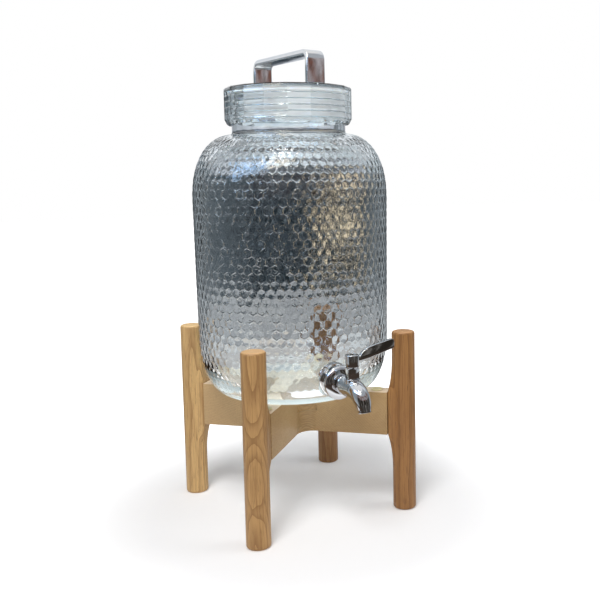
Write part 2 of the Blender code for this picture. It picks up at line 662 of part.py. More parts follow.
def make_tap_body(tap_frame, jar_frame, metal):
    """Flange, threaded shank and spout in one casting, bored for the water and the valve plug."""
    rear = FLANGE_BACK + BODY_FROM_FLANGE
    throat_end = rear + FLANGE_THROAT_RADIUS / 2
    dome = arc(FLANGE_THROAT_RADIUS, FLANGE_BACK + FLANGE_EDGE, FLANGE_RADIUS - FLANGE_THROAT_RADIUS,
               FLANGE_DOME, 90, 0)
    profile = [(0, throat_end), (FLANGE_THROAT_RADIUS, throat_end)] + dome
    profile += [(FLANGE_RADIUS, FLANGE_BACK), (SHANK_RADIUS, FLANGE_BACK), (SHANK_RADIUS, SHANK_END),
                (0, SHANK_END)]
    body = turned("tap_body", profile, tap_frame, metal)

    path = []
    radii = []
    for radius, distance in arc(BODY_RADIUS - BODY_EDGE, BODY_EDGE, BODY_EDGE, BODY_EDGE, -90, 0, 3):
        path.append((rear + distance, 0))
        radii.append(radius)
    bend = spout_path(rear)[1:]
    for i, point in enumerate(bend):
        share = i / (len(bend) - 1)
        path.append(point)
        radii.append(BODY_WAIST_RADIUS - (BODY_WAIST_RADIUS - SPOUT_RADIUS) * share ** SPOUT_TAPER_POWER)
    spout = tube("spout_shell", [(0, y, z) for z, y in path], radii, tap_frame)
    necklet = cylinder("necklet", CHAMBER_RADIUS + NECKLET_WALL, TAP_Z, NECKLET_TOP, jar_frame,
                       location=(0, -STEM_REACH, 0))
    join(body, spout, necklet)

    mouth_run = spout_path(STEM_REACH)
    tail = (OVERRUN * math.cos(BEND_END), -OVERRUN * math.sin(BEND_END))
    mouth_run.append((MOUTH_REACH + tail[0], -MOUTH_DROP + tail[1]))
    waterway = tube("waterway", [(0, y, z) for z, y in mouth_run[1:]], [SPOUT_BORE] * (len(mouth_run) - 1),
                    tap_frame, resolution=4)
    inlet = cylinder("inlet_bore", INLET_BORE, SHANK_END - OVERRUN, STEM_REACH, tap_frame)
    chamber = cylinder("valve_chamber", CHAMBER_RADIUS, TAP_Z - PLUG_HALF_HEIGHT - GAP,
                       NECKLET_TOP + OVERRUN, jar_frame, location=(0, -STEM_REACH, 0))
    cut(body, waterway, inlet, chamber)


def make_tap_fittings(tap_frame, stem_frame, metal, seal_material):
    """The washers and the nut that hold the tap in the glass, and the bonnet over the valve."""
    washer_bore = SHANK_RADIUS + GAP
    for name, start in (("outer_washer", BOSS_FACE + GAP), ("inner_washer", SEAT_FACE - GAP - WASHER_THICKNESS)):
        end = start + WASHER_THICKNESS
        ring = [(washer_bore, end), (WASHER_RADIUS, end), (WASHER_RADIUS, start), (washer_bore, start)]
        turned(name, ring, tap_frame, seal_material, ring=True)
    nut_end = SEAT_FACE - WASHER_THICKNESS - 2 * GAP
    nut_start = nut_end - NUT_THICKNESS
    hexagon = [(0, nut_end), (NUT_RADIUS, nut_end), (NUT_RADIUS, nut_start + NUT_CHAMFER),
               (NUT_RADIUS - NUT_CHAMFER, nut_start), (0, nut_start)]
    nut = turned("lock_nut", hexagon, tap_frame, metal, steps=6)
    nut.modifiers["turn"].use_smooth_shade = False
    cut(nut, cylinder("nut_bore", washer_bore, nut_start - OVERRUN, nut_end + OVERRUN, tap_frame,
                      steps=PIECE_STEPS))

    packing_bottom = TAP_Z + PLUG_HALF_HEIGHT + GAP
    packing_middle = packing_bottom + PACKING_RADIUS
    packing_ring = STEM_RADIUS + GAP + PACKING_RADIUS
    circle = arc(packing_ring, packing_middle, PACKING_RADIUS, PACKING_RADIUS, 90, -270, 8)[:-1]
    turned("stem_packing", circle, stem_frame, seal_material, steps=SMALL_STEPS, ring=True)

    spigot_bottom = packing_bottom + 2 * PACKING_RADIUS + GAP
    seat = NECKLET_TOP + GAP
    hexagon = [(0, BONNET_TOP), (BONNET_RADIUS - BONNET_CHAMFER / 2, BONNET_TOP),
               (BONNET_RADIUS, BONNET_TOP - BONNET_CHAMFER), (BONNET_RADIUS, seat), (0, seat)]
    bonnet = turned("bonnet_nut", hexagon, stem_frame, metal, steps=6, rotation=(0, 0, math.pi / 6))
    bonnet.modifiers["turn"].use_smooth_shade = False
    join(bonnet, cylinder("bonnet_spigot", CHAMBER_RADIUS - GAP, spigot_bottom, seat + OVERRUN, stem_frame))
    cut(bonnet, cylinder("stem_bore", STEM_RADIUS + GAP, spigot_bottom - OVERRUN, BONNET_TOP + OVERRUN,
                         stem_frame))


def make_valve(lever_frame, metal):
    """The plug that shuts the water off, and the stem that turns it."""
    bottom = TAP_Z - PLUG_HALF_HEIGHT
    top = TAP_Z + PLUG_HALF_HEIGHT
    plug = CHAMBER_RADIUS - GAP
    outline = [(0, STEM_TOP), (STEM_RADIUS, STEM_TOP), (STEM_RADIUS, top), (plug, top), (plug, bottom),
               (0, bottom)]
    valve = turned("valve_plug", outline, lever_frame, metal, steps=SMALL_STEPS)
    cut(valve, cylinder("plug_port", PLUG_PORT_RADIUS, -CHAMBER_RADIUS, CHAMBER_RADIUS, lever_frame, steps=16,
                        location=(0, 0, TAP_Z), rotation=(0, math.pi / 2, 0)))
    thread_end = RECESS_FLOOR - LEVER_SCREW_REACH
    cut(valve, cylinder("stem_thread", LEVER_SCREW_RADIUS + GAP, thread_end, STEM_TOP + OVERRUN, lever_frame,
                        steps=16))


def lever_outline():
    """The blade seen from the front: a narrow neck at the hub that widens into a rising paddle."""
    root = HUB_RADIUS / 2
    lower = [(root, HUB_BOTTOM + HUB_HEIGHT * LEVER_ROOT_SHARES[0])]
    upper = [(root, HUB_BOTTOM + HUB_HEIGHT * LEVER_ROOT_SHARES[1])]
    for along_share, low_share, high_share in LEVER_BLADE_SHARES:
        lower.append((LEVER_LENGTH * along_share, HUB_BOTTOM + HUB_HEIGHT * low_share))
        upper.append((LEVER_LENGTH * along_share, HUB_BOTTOM + HUB_HEIGHT * high_share))
    end_low, end_high = [HUB_BOTTOM + HUB_HEIGHT * share for share in LEVER_END_SHARES]
    lower.append((LEVER_LENGTH - LEVER_END_ROUND, end_low))
    upper.append((LEVER_LENGTH - LEVER_END_ROUND, end_high))
    tip = [(LEVER_LENGTH, end_low + LEVER_END_ROUND), (LEVER_LENGTH, end_high - LEVER_END_ROUND)]
    return lower + tip + upper[::-1]


def make_lever(lever_frame, metal):
    """The hub on the stem and its blade, in one casting, with the screw that holds it down."""
    hub_profile = [(0, HUB_TOP), (HUB_RADIUS - HUB_ROUND, HUB_TOP), (HUB_RADIUS, HUB_TOP - HUB_ROUND),
                   (HUB_RADIUS, HUB_BOTTOM), (0, HUB_BOTTOM)]
    lever = turned("tap_lever", hub_profile, lever_frame, metal)
    blade = plate("lever_blade", lever_outline(), LEVER_THICKNESS, lever_frame, rotation=(math.pi / 2, 0, 0))
    soften(blade, LEVER_EDGE)
    recess_radius = HUB_RADIUS - HUB_WALL
    join(lever, blade)
    cut(lever,
        cylinder("hub_bore", STEM_RADIUS + GAP, HUB_BOTTOM - OVERRUN, STEM_TOP + GAP, lever_frame),
        cylinder("hub_recess", recess_radius, RECESS_FLOOR, HUB_TOP + OVERRUN, lever_frame),
        cylinder("hub_screw_hole", LEVER_SCREW_RADIUS + GAP, HUB_BOTTOM, HUB_TOP, lever_frame, steps=16))
    head = recess_radius - GAP
    head_bottom = RECESS_FLOOR + GAP
    tip = RECESS_FLOOR - LEVER_SCREW_REACH + GAP
    screw_profile = [(0, HUB_TOP), (head - HUB_ROUND, HUB_TOP), (head, HUB_TOP - HUB_ROUND),
                     (head, head_bottom), (LEVER_SCREW_RADIUS, head_bottom), (LEVER_SCREW_RADIUS, tip),
                     (0, tip)]
    turned("lever_screw", screw_profile, lever_frame, metal, steps=16)


def build():
    wood = make_material("leg_wood", (0.52, 0.29, 0.12), 0.5)
    rail_wood = make_material("rail_wood", (0.62, 0.42, 0.22), 0.55)
    bumper = make_material("bumper_silicone", (0.80, 0.70, 0.40), 0.4)
    glass = make_material("jar_glass", (0.92, 0.96, 0.96), 0.03, transmission=1.0)
    lid_glass = make_material("lid_glass", (0.80, 0.90, 0.90), 0.05, transmission=1.0)
    seal = make_material("clear_silicone", (0.85, 0.88, 0.88), 0.35)
    chrome = make_material("polished_steel", (0.78, 0.79, 0.80), 0.12, metallic=1.0)

    root = make_frame("dispenser_frame", None, (0, JAR_AXIS_Y, 0))
    stand_frame = make_frame("stand_frame", root, rotation=(0, 0, math.radians(STAND_TURN)))
    jar_frame = make_frame("jar_frame", root)
    lid_frame = make_frame("lid_frame", jar_frame, rotation=(0, 0, math.radians(LID_TURN)))
    handle_frame = make_frame("handle_frame", lid_frame, rotation=(0, 0, math.radians(HANDLE_TURN)))
    tap_frame = make_frame("tap_frame", jar_frame, (0, 0, TAP_Z), (math.pi / 2, 0, 0))
    lever_frame = make_frame("lever_frame", jar_frame, (0, -STEM_REACH, 0))

    make_stand(stand_frame, wood, rail_wood, bumper)
    make_jar(jar_frame, tap_frame, glass)
    make_lid(lid_frame, handle_frame, lid_glass, seal, chrome)
    make_tap_body(tap_frame, jar_frame, chrome)
    make_tap_fittings(tap_frame, lever_frame, chrome, seal)
    make_valve(lever_frame, chrome)
    make_lever(lever_frame, chrome)


clear_scene()
PARTS = make_collection("drink_dispenser")
CUTTERS = make_collection("cutters")
build()
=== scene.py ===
"""Looks of the cold drink dispenser: pressed glass jar and lid, polished tap, oiled wooden stand."""
import math

import bmesh
import bpy
import numpy as np
from mathutils import Matrix, Vector


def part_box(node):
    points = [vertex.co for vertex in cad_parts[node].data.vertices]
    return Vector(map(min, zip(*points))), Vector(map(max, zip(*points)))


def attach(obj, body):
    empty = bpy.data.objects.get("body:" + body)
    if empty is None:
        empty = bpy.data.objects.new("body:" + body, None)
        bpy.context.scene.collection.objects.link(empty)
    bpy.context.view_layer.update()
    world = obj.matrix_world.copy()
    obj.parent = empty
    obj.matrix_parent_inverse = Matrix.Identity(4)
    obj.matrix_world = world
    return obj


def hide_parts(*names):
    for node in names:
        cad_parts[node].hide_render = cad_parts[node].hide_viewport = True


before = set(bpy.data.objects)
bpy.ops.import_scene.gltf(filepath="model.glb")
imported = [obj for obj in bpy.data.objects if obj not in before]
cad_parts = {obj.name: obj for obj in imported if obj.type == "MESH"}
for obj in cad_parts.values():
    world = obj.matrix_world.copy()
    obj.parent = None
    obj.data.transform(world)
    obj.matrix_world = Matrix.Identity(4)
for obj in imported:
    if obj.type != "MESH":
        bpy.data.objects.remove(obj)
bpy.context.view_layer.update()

MM = 0.001
TAU = 2 * math.pi
RAILS = ("cross_rail_upper", "cross_rail_lower")

# Places and sizes that the frame gives
lid_low, lid_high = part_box("lid")
seal_low, seal_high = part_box("lid_seal")
handle_low, handle_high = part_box("lid_handle")
screw_low, screw_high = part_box("lever_screw")
bonnet_low, bonnet_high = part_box("bonnet_nut")
washer_low, washer_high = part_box("outer_washer")
JAR_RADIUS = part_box("jar_wall")[1].x
JAR_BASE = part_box("jar_base")[0].z
RIM_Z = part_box("jar_neck")[1].z
AXIS_Y = (lid_low.y + lid_high.y) / 2
LID_BOTTOM = lid_low.z
LID_TOP = lid_high.z
STEM_Y = (screw_low.y + screw_high.y) / 2
TAP_Z = (washer_low.z + washer_high.z) / 2
HUB_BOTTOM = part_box("tap_lever")[0].z
HUB_TOP = screw_high.z
BONNET_TOP = bonnet_high.z
PLUG_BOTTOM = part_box("valve_plug")[0].z
RAIL_LOW = min(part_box(name)[0].z for name in RAILS)
RAIL_HIGH = max(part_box(name)[1].z for name in RAILS)

# Local frames: about the jar's axis, about the tap's axis with +Z outwards, and about the valve's stem
ON_JAR = {"location": (0, AXIS_Y, 0)}
ON_TAP = {"location": (0, AXIS_Y, TAP_Z), "rotation": (math.pi / 2, 0, 0)}
ON_STEM = {"location": (0, STEM_Y, 0)}

# Jar
WALL_TAPER = 1.2 * MM
CORNER_REACH = 25.4 * MM
CORNER_HEIGHT = 52.0 * MM
STRAIGHT_HEIGHT = 133.0 * MM
SHOULDER_REACH = 38.8 * MM
SHOULDER_HEIGHT = 60.0 * MM
SHOULDER_POWER = 2.2
WALL_GLASS = 4.5 * MM
FLOOR_GLASS = 8.0 * MM
NECK_GLASS = 3.5 * MM
RIM_ROUND = 1.4 * MM
NECK_FILLET = 2.6 * MM
NECK_ROWS = 30
THREAD_LEAD = 9.4 * MM
THREAD_PROUD = 1.6 * MM
THREAD_HALF = 1.7 * MM
THREAD_START = 14.0 * MM
THREAD_TURNS = 2
THREAD_TAPER = 0.05
THREAD_FULLNESS = 1.25
THREAD_CLEARANCE = 0.6 * MM
WALL_BOTTOM = JAR_BASE + CORNER_HEIGHT
WALL_TOP = WALL_BOTTOM + STRAIGHT_HEIGHT
NECK_FOOT = WALL_TOP + SHOULDER_HEIGHT
NECK_RADIUS = JAR_RADIUS - SHOULDER_REACH
MOUTH_RADIUS = NECK_RADIUS - NECK_GLASS
BASE_RADIUS = JAR_RADIUS - WALL_TAPER - CORNER_REACH
THREAD_FOOT = NECK_FOOT + THREAD_START

# Pressed drops of the jar, and a painted glow at its thick lower rim, standing in for light that the thick
# base gathers
DROPS_AROUND = 70
COLUMNS_PER_DROP = 6
ROWS_PER_PERIOD = 8
DROP_HEIGHT = 0.32 * MM
DROP_START = 4.0 * MM
DROP_FADE_IN = 12.0 * MM
DROP_END = 1.0 * MM
DROP_FADE_OUT = 5.0 * MM
DROP_UNEVEN = 0.16
VALLEY_DEPTH = 0.27 * MM
VALLEY_WOBBLE = 0.7
STREAK_DEPTH = 0.16 * MM
RIM_PAINTED_GLOW = 0.30
RIM_PAINTED_GLOW_HEIGHT = 7.0 * MM
RIM_PAINTED_GLOW_TONE = (0.80, 0.92, 0.92)

# Tap seat
BOSS_RADIUS = 13.5 * MM
BOSS_DRAFT = 2.5 * MM
BOSS_DEPTH = 8.9 * MM
BOSS_EDGE = 0.9 * MM
BOSS_FACE = JAR_RADIUS + 0.8 * MM
SEAT_FACE = BOSS_FACE - BOSS_DEPTH
POCKET_RADIUS = 12.8 * MM
SHANK_RADIUS = 8.0 * MM
SHANK_TAIL = 73.3 * MM
GAP = 0.3 * MM

# Lid, with the frost on its facets, the fine ribs in its side and painted shade along the ribs
LID_FACETS = 18
LID_TURN = math.radians(5.4)
LID_WALL = 3.6 * MM
LID_PLATE = 4.5 * MM
LID_CHAMFER = 1.3 * MM
LID_FOOT_HEIGHT = 4.2 * MM
LID_FOOT_INSET = 2.4 * MM
LID_FLARE = 0.5 * MM
LID_BORE_ROWS = 72
LID_BORE = NECK_RADIUS + THREAD_PROUD + THREAD_CLEARANCE
LID_FLAT = LID_BORE + LID_WALL
LID_CORNER = LID_FLAT / math.cos(math.pi / LID_FACETS)
FACET_HALF = math.pi / LID_FACETS
FACET_ROUND = 0.94
FACET_STEP = 0.381966
FROST = 0.62
FROST_SIDE = math.radians(-95)
RIB_PITCH = 5.4 * MM
RIB_HEIGHT = 0.28 * MM
# Painted shade: the darker tint given to the glass along the ribs
RIB_PAINTED_SHADE = (0.55, 0.71, 0.74)
LID_SCREW_SHANK = 1.6 * MM
LID_SCREW_SEAT = 2.0 * MM
SEAL_OVERLAP = 0.6 * MM
SEAL_EDGE = 0.45 * MM

# Handle
HANDLE_WIDTH = 19.2 * MM
HANDLE_THICKNESS = 5.0 * MM
HANDLE_TURN = math.radians(2.4)
HANDLE_OUTER_ROUND = 9.0 * MM
HANDLE_INNER_ROUND = 4.0 * MM
HANDLE_EDGE = 1.4 * MM
HANDLE_FROM_EDGE = 13.5 * MM

# Tap, measured outward from the jar's axis where it lies along the tap
FLANGE_RADIUS = 15.3 * MM
FLANGE_EDGE = 1.5 * MM
FLANGE_THROAT = 7.4 * MM
FLANGE_DOME = 4.2 * MM
FLANGE_BACK = 95.6 * MM
BODY_REAR = 105.2 * MM
BODY_RADIUS = 9.0 * MM
BODY_EDGE = 2.2 * MM
BODY_WAIST = 8.3 * MM
SPOUT_RADIUS = 5.7 * MM
SPOUT_WALL = 1.4 * MM
SPOUT_STRAIGHT = 2.5 * MM
SPOUT_BEND = 18.0 * MM
SPOUT_TAIL = 3.4 * MM
SPOUT_TAIL_SHARES = (0.4, 0.78, 0.93, 1.0)
SPOUT_LIP = 0.6 * MM
SPOUT_ANGLE = math.radians(75)
SPOUT_TAPER_POWER = 2.7
SPOUT_ROWS = 28
INLET_BORE = 4.2 * MM
CHAMBER_RADIUS = 5.3 * MM
NECKLET_RADIUS = 6.9 * MM
NECKLET_EDGE = 0.5 * MM
NECKLET_TOP = TAP_Z + 8.6 * MM
BONNET_RADIUS = 6.1 * MM
BONNET_CHAMFER = 2.2 * MM
BONNET_EDGE = 0.35 * MM
STEM_RADIUS = 2.4 * MM
STEM_REACH = AXIS_Y - STEM_Y
WASHER_EDGE = 0.4 * MM
NUT_EDGE = 0.4 * MM
NUT_CROWN_REACH = 1.2 * MM
NUT_CROWN_HEIGHT = 1.6 * MM

# Lever. The blade's places are shares of its length, its heights are shares of the hub's height
HUB_RADIUS = 6.0 * MM
HUB_ROUND = 0.7 * MM
HUB_WALL = 2.1 * MM
RECESS_RADIUS = HUB_RADIUS - HUB_WALL
RECESS_FLOOR = HUB_TOP - 1.7 * MM
STEM_SEAT = RECESS_FLOOR - 2.0 * MM
LEVER_LENGTH = 41.5 * MM
LEVER_THICKNESS = 3.4 * MM
LEVER_EDGE = 0.8 * MM
LEVER_END_ROUND = 3.0 * MM
LEVER_PLACES = (0.16, 0.22, 0.32, 0.45)
LEVER_UNDERSIDE = (0.42, 0.42, 0.44, 0.50, 0.60, 1.06)
LEVER_UPPER_SIDE = (0.80, 0.82, 1.06, 1.34, 1.54, 1.92)
LEVER_SCREW_WAY = 1.5 * MM
LEVER_SCREW_SHANK = 1.2 * MM

# Stand
LEG_RADIUS = 11.0 * MM
LEG_TO_JAR = 5.3 * MM
LEG_ROUND = 2.4 * MM
LEG_SIDES = 96
FLARE_DEPTH = 3.2 * MM
FLARE_RISE = 34.0 * MM
FLARE_FALL = 34.0 * MM
FLARE_CORNER_POWER = 14
DOWEL_HALF_LENGTH = 13.3 * MM
RAIL_THICKNESS = 18.0 * MM
RAIL_FILLET = 15.0 * MM
RAIL_EDGE = 0.7 * MM
LAP_OVERRUN = 2.0 * MM
BUMPER_EDGE = 0.6 * MM
STAND_TURN = 2.3
LEG_BEARINGS = {"back_right": 45, "back_left": 135, "front_left": 225, "front_right": 315}

# Wood: pale, deep and dark tones, the pith's distance, the rings' width, and the figures of one leg. The legs
# differ in tone partly as painted light and shade: the back right leg is darkest partly as a painted shadow of
# the jar.
LEG_TONES_AND_SHADE = {
    "front_left": ((0.56, 0.33, 0.130), (0.46, 0.26, 0.095), (0.22, 0.10, 0.032)),
    "back_left": ((0.74, 0.49, 0.215), (0.60, 0.38, 0.155), (0.30, 0.15, 0.055)),
    "front_right": ((0.41, 0.20, 0.062), (0.34, 0.16, 0.050), (0.17, 0.07, 0.022)),
    "back_right": ((0.37, 0.19, 0.074), (0.30, 0.15, 0.056), (0.16, 0.072, 0.025)),
}
LEG_PITH = 34.0 * MM
LEG_RING = 2.8 * MM
LEG_FACING = (0, 0, math.radians(-60))
LEG_EYES = {"front_left": ((0.098, 0.016, 0.006), (0.035, 0.010, 0.003))}
RAIL_TONES = ((0.50, 0.335, 0.155), (0.44, 0.28, 0.120), (0.26, 0.14, 0.055))
# Painted highlight: a pale cream on the rails' faces that look up, where light falls on their tops
RAIL_TOP_HIGHLIGHT = (0.95, 0.78, 0.58)
RAIL_PITH = 90.0 * MM
RAIL_RING = 1.6 * MM

# Camera, in metres and in degrees round the jar's axis
CAMERA_AZIMUTH = -23.87
CAMERA_DISTANCE = 783.7 * MM
CAMERA_HEIGHT = 320.6 * MM
CAMERA_YAW = -5.89
CAMERA_PITCH = 6.18
CAMERA_ROLL = -0.80
CAMERA_LENS = 48.37
CAMERA_SENSOR = 36.0
CAMERA_SHIFT = (-0.125, -0.0625)

# Stage, in metres, and levels of light
FLOOR_SIZE = 12
FLOOR_LIFT = 0.07
FLOOR_FAR_LIFT = 0.9
FLOOR_GLOW = 0.50
SKY_LEVEL = 0.34
KEY_PLACE = (-0.75, -0.90, 2.0)
KEY_SIZE = 0.9
KEY_POWER = 33
FILL_PLACE = (1.5, -0.9, 1.2)
FILL_SIZE = 1.2
FILL_POWER = 8
STAGE_MIDDLE = (0, 0, 0.2)
SURROUND_RADIUS = 0.5
SURROUND_FOOT = 1.5 * MM
SURROUND_TOP = 1.10
CARD_STRENGTH = 8.0
CARD_RISE = 0.23
CARD_LOW = 0.10
CARD_HIGH = 0.29


# Meshes

def clamp(share):
    return min(1.0, max(0.0, share))


def wave(share):
    """A smooth step from 0 to 1."""
    return (1 - math.cos(math.pi * share)) / 2


def oval(center_x, center_y, radius_x, radius_y, start, end, steps):
    """Points on an ellipse's arc, from one angle in degrees to another, ends included."""
    angles = [math.radians(start + (end - start) * i / steps) for i in range(steps + 1)]
    return [(center_x + radius_x * math.cos(a), center_y + radius_y * math.sin(a)) for a in angles]


def arc(center_x, center_y, radius, start, end, steps):
    return oval(center_x, center_y, radius, radius, start, end, steps)


def full_arc(center_x, center_y, radius_x, radius_y, steps):
    """A quarter of a curve that is a little fuller than an ellipse, from the side to the top."""
    angles = [math.pi / 2 * i / steps for i in range(steps)]
    power = 2 / SHOULDER_POWER
    points = [(center_x + radius_x * math.cos(a) ** power, center_y + radius_y * math.sin(a) ** power)
              for a in angles]
    return points + [(center_x, center_y + radius_y)]


def hexagon(radius, turn=0.0):
    return [(radius * math.cos(TAU * k / 6 + turn), radius * math.sin(TAU * k / 6 + turn)) for k in range(6)]


def ring(radius, z, angles):
    """Points round Z. The radius and the height are single numbers, or one number for each angle."""
    even = np.zeros(len(angles))
    return np.stack([radius * np.cos(angles), radius * np.sin(angles), z + even], axis=-1)


def new_piece(name, verts, faces, location=(0, 0, 0), rotation=(0, 0, 0), sharp=38):
    """A mesh object whose faces turn outwards and are smooth up to the given angle between them."""
    mesh = bpy.data.meshes.new(name)
    mesh.from_pydata([tuple(v) for v in verts], [], faces)
    mesh.validate()
    mesh.transform(Matrix.LocRotScale(Vector(location), Matrix.Rotation(rotation[2], 3, "Z")
                                      @ Matrix.Rotation(rotation[1], 3, "Y")
                                      @ Matrix.Rotation(rotation[0], 3, "X"), None))
    item = bpy.data.objects.new(name, mesh)
    bpy.context.scene.collection.objects.link(item)
    smooth(item, sharp)
    bm = bmesh.new()
    bm.from_mesh(mesh)
    bmesh.ops.recalc_face_normals(bm, faces=bm.faces)
    bm.to_mesh(mesh)
    bm.free()
    return item


def smooth(item, sharp):
    item.data.shade_smooth()
    item.data.set_sharp_from_angle(angle=math.radians(sharp))


def shell(name, rings, first=None, last=None, loop=False, flat=False, **where):
    """A skin over rings of points. A point before the first or after the last ring closes that end.

    With loop the last ring joins the first one, and with flat each end is one flat face.
    """
    sides = len(rings[0])
    end = (len(rings) - 1) * sides
    verts = [point for points in rings for point in points]
    faces = []
    if flat:
        faces += [tuple(range(sides))[::-1], tuple(range(end, end + sides))]
    for start in range(0, end, sides):
        for j in range(sides):
            k = (j + 1) % sides
            faces.append((start + j, start + k, start + sides + k, start + sides + j))
    if loop:
        faces += [(end + j, end + (j + 1) % sides, (j + 1) % sides, j) for j in range(sides)]
    if first is not None:
        faces += [(len(verts), (j + 1) % sides, j) for j in range(sides)]
        verts.append(first)
    if last is not None:
        faces += [(len(verts), end + j, end + (j + 1) % sides) for j in range(sides)]
        verts.append(last)
    return new_piece(name, verts, faces, **where)


def lathe(name, profile, steps=96, loop=False, **where):
    """Turns (radius, height) points about Z. Ends on the axis close, and a loop joins its ends."""
    points = list(profile)
    first = None
    last = None
    if not loop and points[0][0] == 0:
        first = (0, 0, points.pop(0)[1])
    if not loop and points[-1][0] == 0:
        last = (0, 0, points.pop()[1])
    angles = np.arange(steps) * TAU / steps
    return shell(name, [ring(r, z, angles) for r, z in points], first, last, loop, **where)


def rod(radius, low, high, steps=48, **where):
    """A plain cylinder along Z, as a tool for cuts and joins."""
    return lathe("rod", [(0, high), (radius, high), (radius, low), (0, low)], steps, **where)


def tube(path, radii, sides=64):
    """A round tube along (y, z) points in the plane x = 0, with flat ends."""
    across = Vector((1, 0, 0))
    angles = [TAU * j / sides for j in range(sides)]
    rings = []
    for i, (y, z) in enumerate(path):
        before = path[max(i - 1, 0)]
        after = path[min(i + 1, len(path) - 1)]
        along = Vector((0, after[0] - before[0], after[1] - before[1])).normalized()
        up = across.cross(along)
        rings.append([Vector((0, y, z)) + radii[i] * (math.cos(a) * across + math.sin(a) * up)
                      for a in angles])
    return shell("tube", rings, flat=True)


def extruded(name, outline, low, high, **where):
    """A flat outline in the XY plane, given its thickness from one height to another."""
    return shell(name, [[(x, y, z) for x, y in outline] for z in (low, high)], flat=True, **where)


def apply_modifiers(item):
    bpy.context.view_layer.update()
    graph = bpy.context.evaluated_depsgraph_get()
    mesh = bpy.data.meshes.new_from_object(item.evaluated_get(graph))
    old = item.data
    item.modifiers.clear()
    item.data = mesh
    bpy.data.meshes.remove(old)


def combine(item, operation, *others):
    """Joins, cuts or intersects a closed piece with others, which are then removed."""
    for other in others:
        modifier = item.modifiers.new("combine", "BOOLEAN")
        modifier.object = other
        modifier.operation = operation
        modifier.solver = "MANIFOLD"
        apply_modifiers(item)
        bpy.data.objects.remove(other)


def soften(item, width, segments=3, angle=35):
    modifier = item.modifiers.new("soften", "BEVEL")
    modifier.width = width
    modifier.segments = segments
    modifier.limit_method = "ANGLE"
    modifier.angle_limit = math.radians(angle)
    modifier.harden_normals = False
    apply_modifiers(item)


def settle(item, body, slot, material, *nodes):
    """Gives a finished piece its material and its body, and hides the nodes that it stands for. Its slot is
    not used.
    """
    item.data.materials.clear()
    item.data.materials.append(material)
    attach(item, body)
    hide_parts(*nodes)


def repaint(name, material):
    """Gives a node that is carried over from the frame a look of its own."""
    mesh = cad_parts[name].data
    mesh.materials.clear()
    mesh.materials.append(material)


# Materials

class Value:
    """What a node gives. Sums, products and steps of values are nodes of their own."""

    def __init__(self, made, socket):
        self.made = made
        self.socket = socket

    def __add__(self, other):
        return self.made.math("ADD", self, other)

    def __sub__(self, other):
        return self.made.math("SUBTRACT", self, other)

    def __rsub__(self, other):
        return self.made.math("SUBTRACT", other, self)

    def __mul__(self, other):
        return self.made.math("MULTIPLY", self, other)

    def __truediv__(self, other):
        return self.made.math("DIVIDE", self, other)

    def __rtruediv__(self, other):
        return self.made.math("DIVIDE", other, self)

    def __abs__(self):
        return self.made.math("ABSOLUTE", self)

    def off_whole(self):
        """Distance from the nearest whole number."""
        return abs(self.made.math("WRAP", self, 0.5, -0.5))

    def fade(self, low, high, start=0.0, end=1.0):
        """A smooth step from start to end, while this value goes from low to high."""
        node = self.made.add("ShaderNodeMapRange", interpolation_type="SMOOTHSTEP")
        self.made.feed(node, Value=self, From_Min=low, From_Max=high, To_Min=start, To_Max=end)
        return Value(self.made, node.outputs[0])

    def between(self, low, high, soft):
        """1 where this value lies between two others, with soft borders."""
        return self.fade(low - soft, low + soft) * self.fade(high + soft, high - soft)


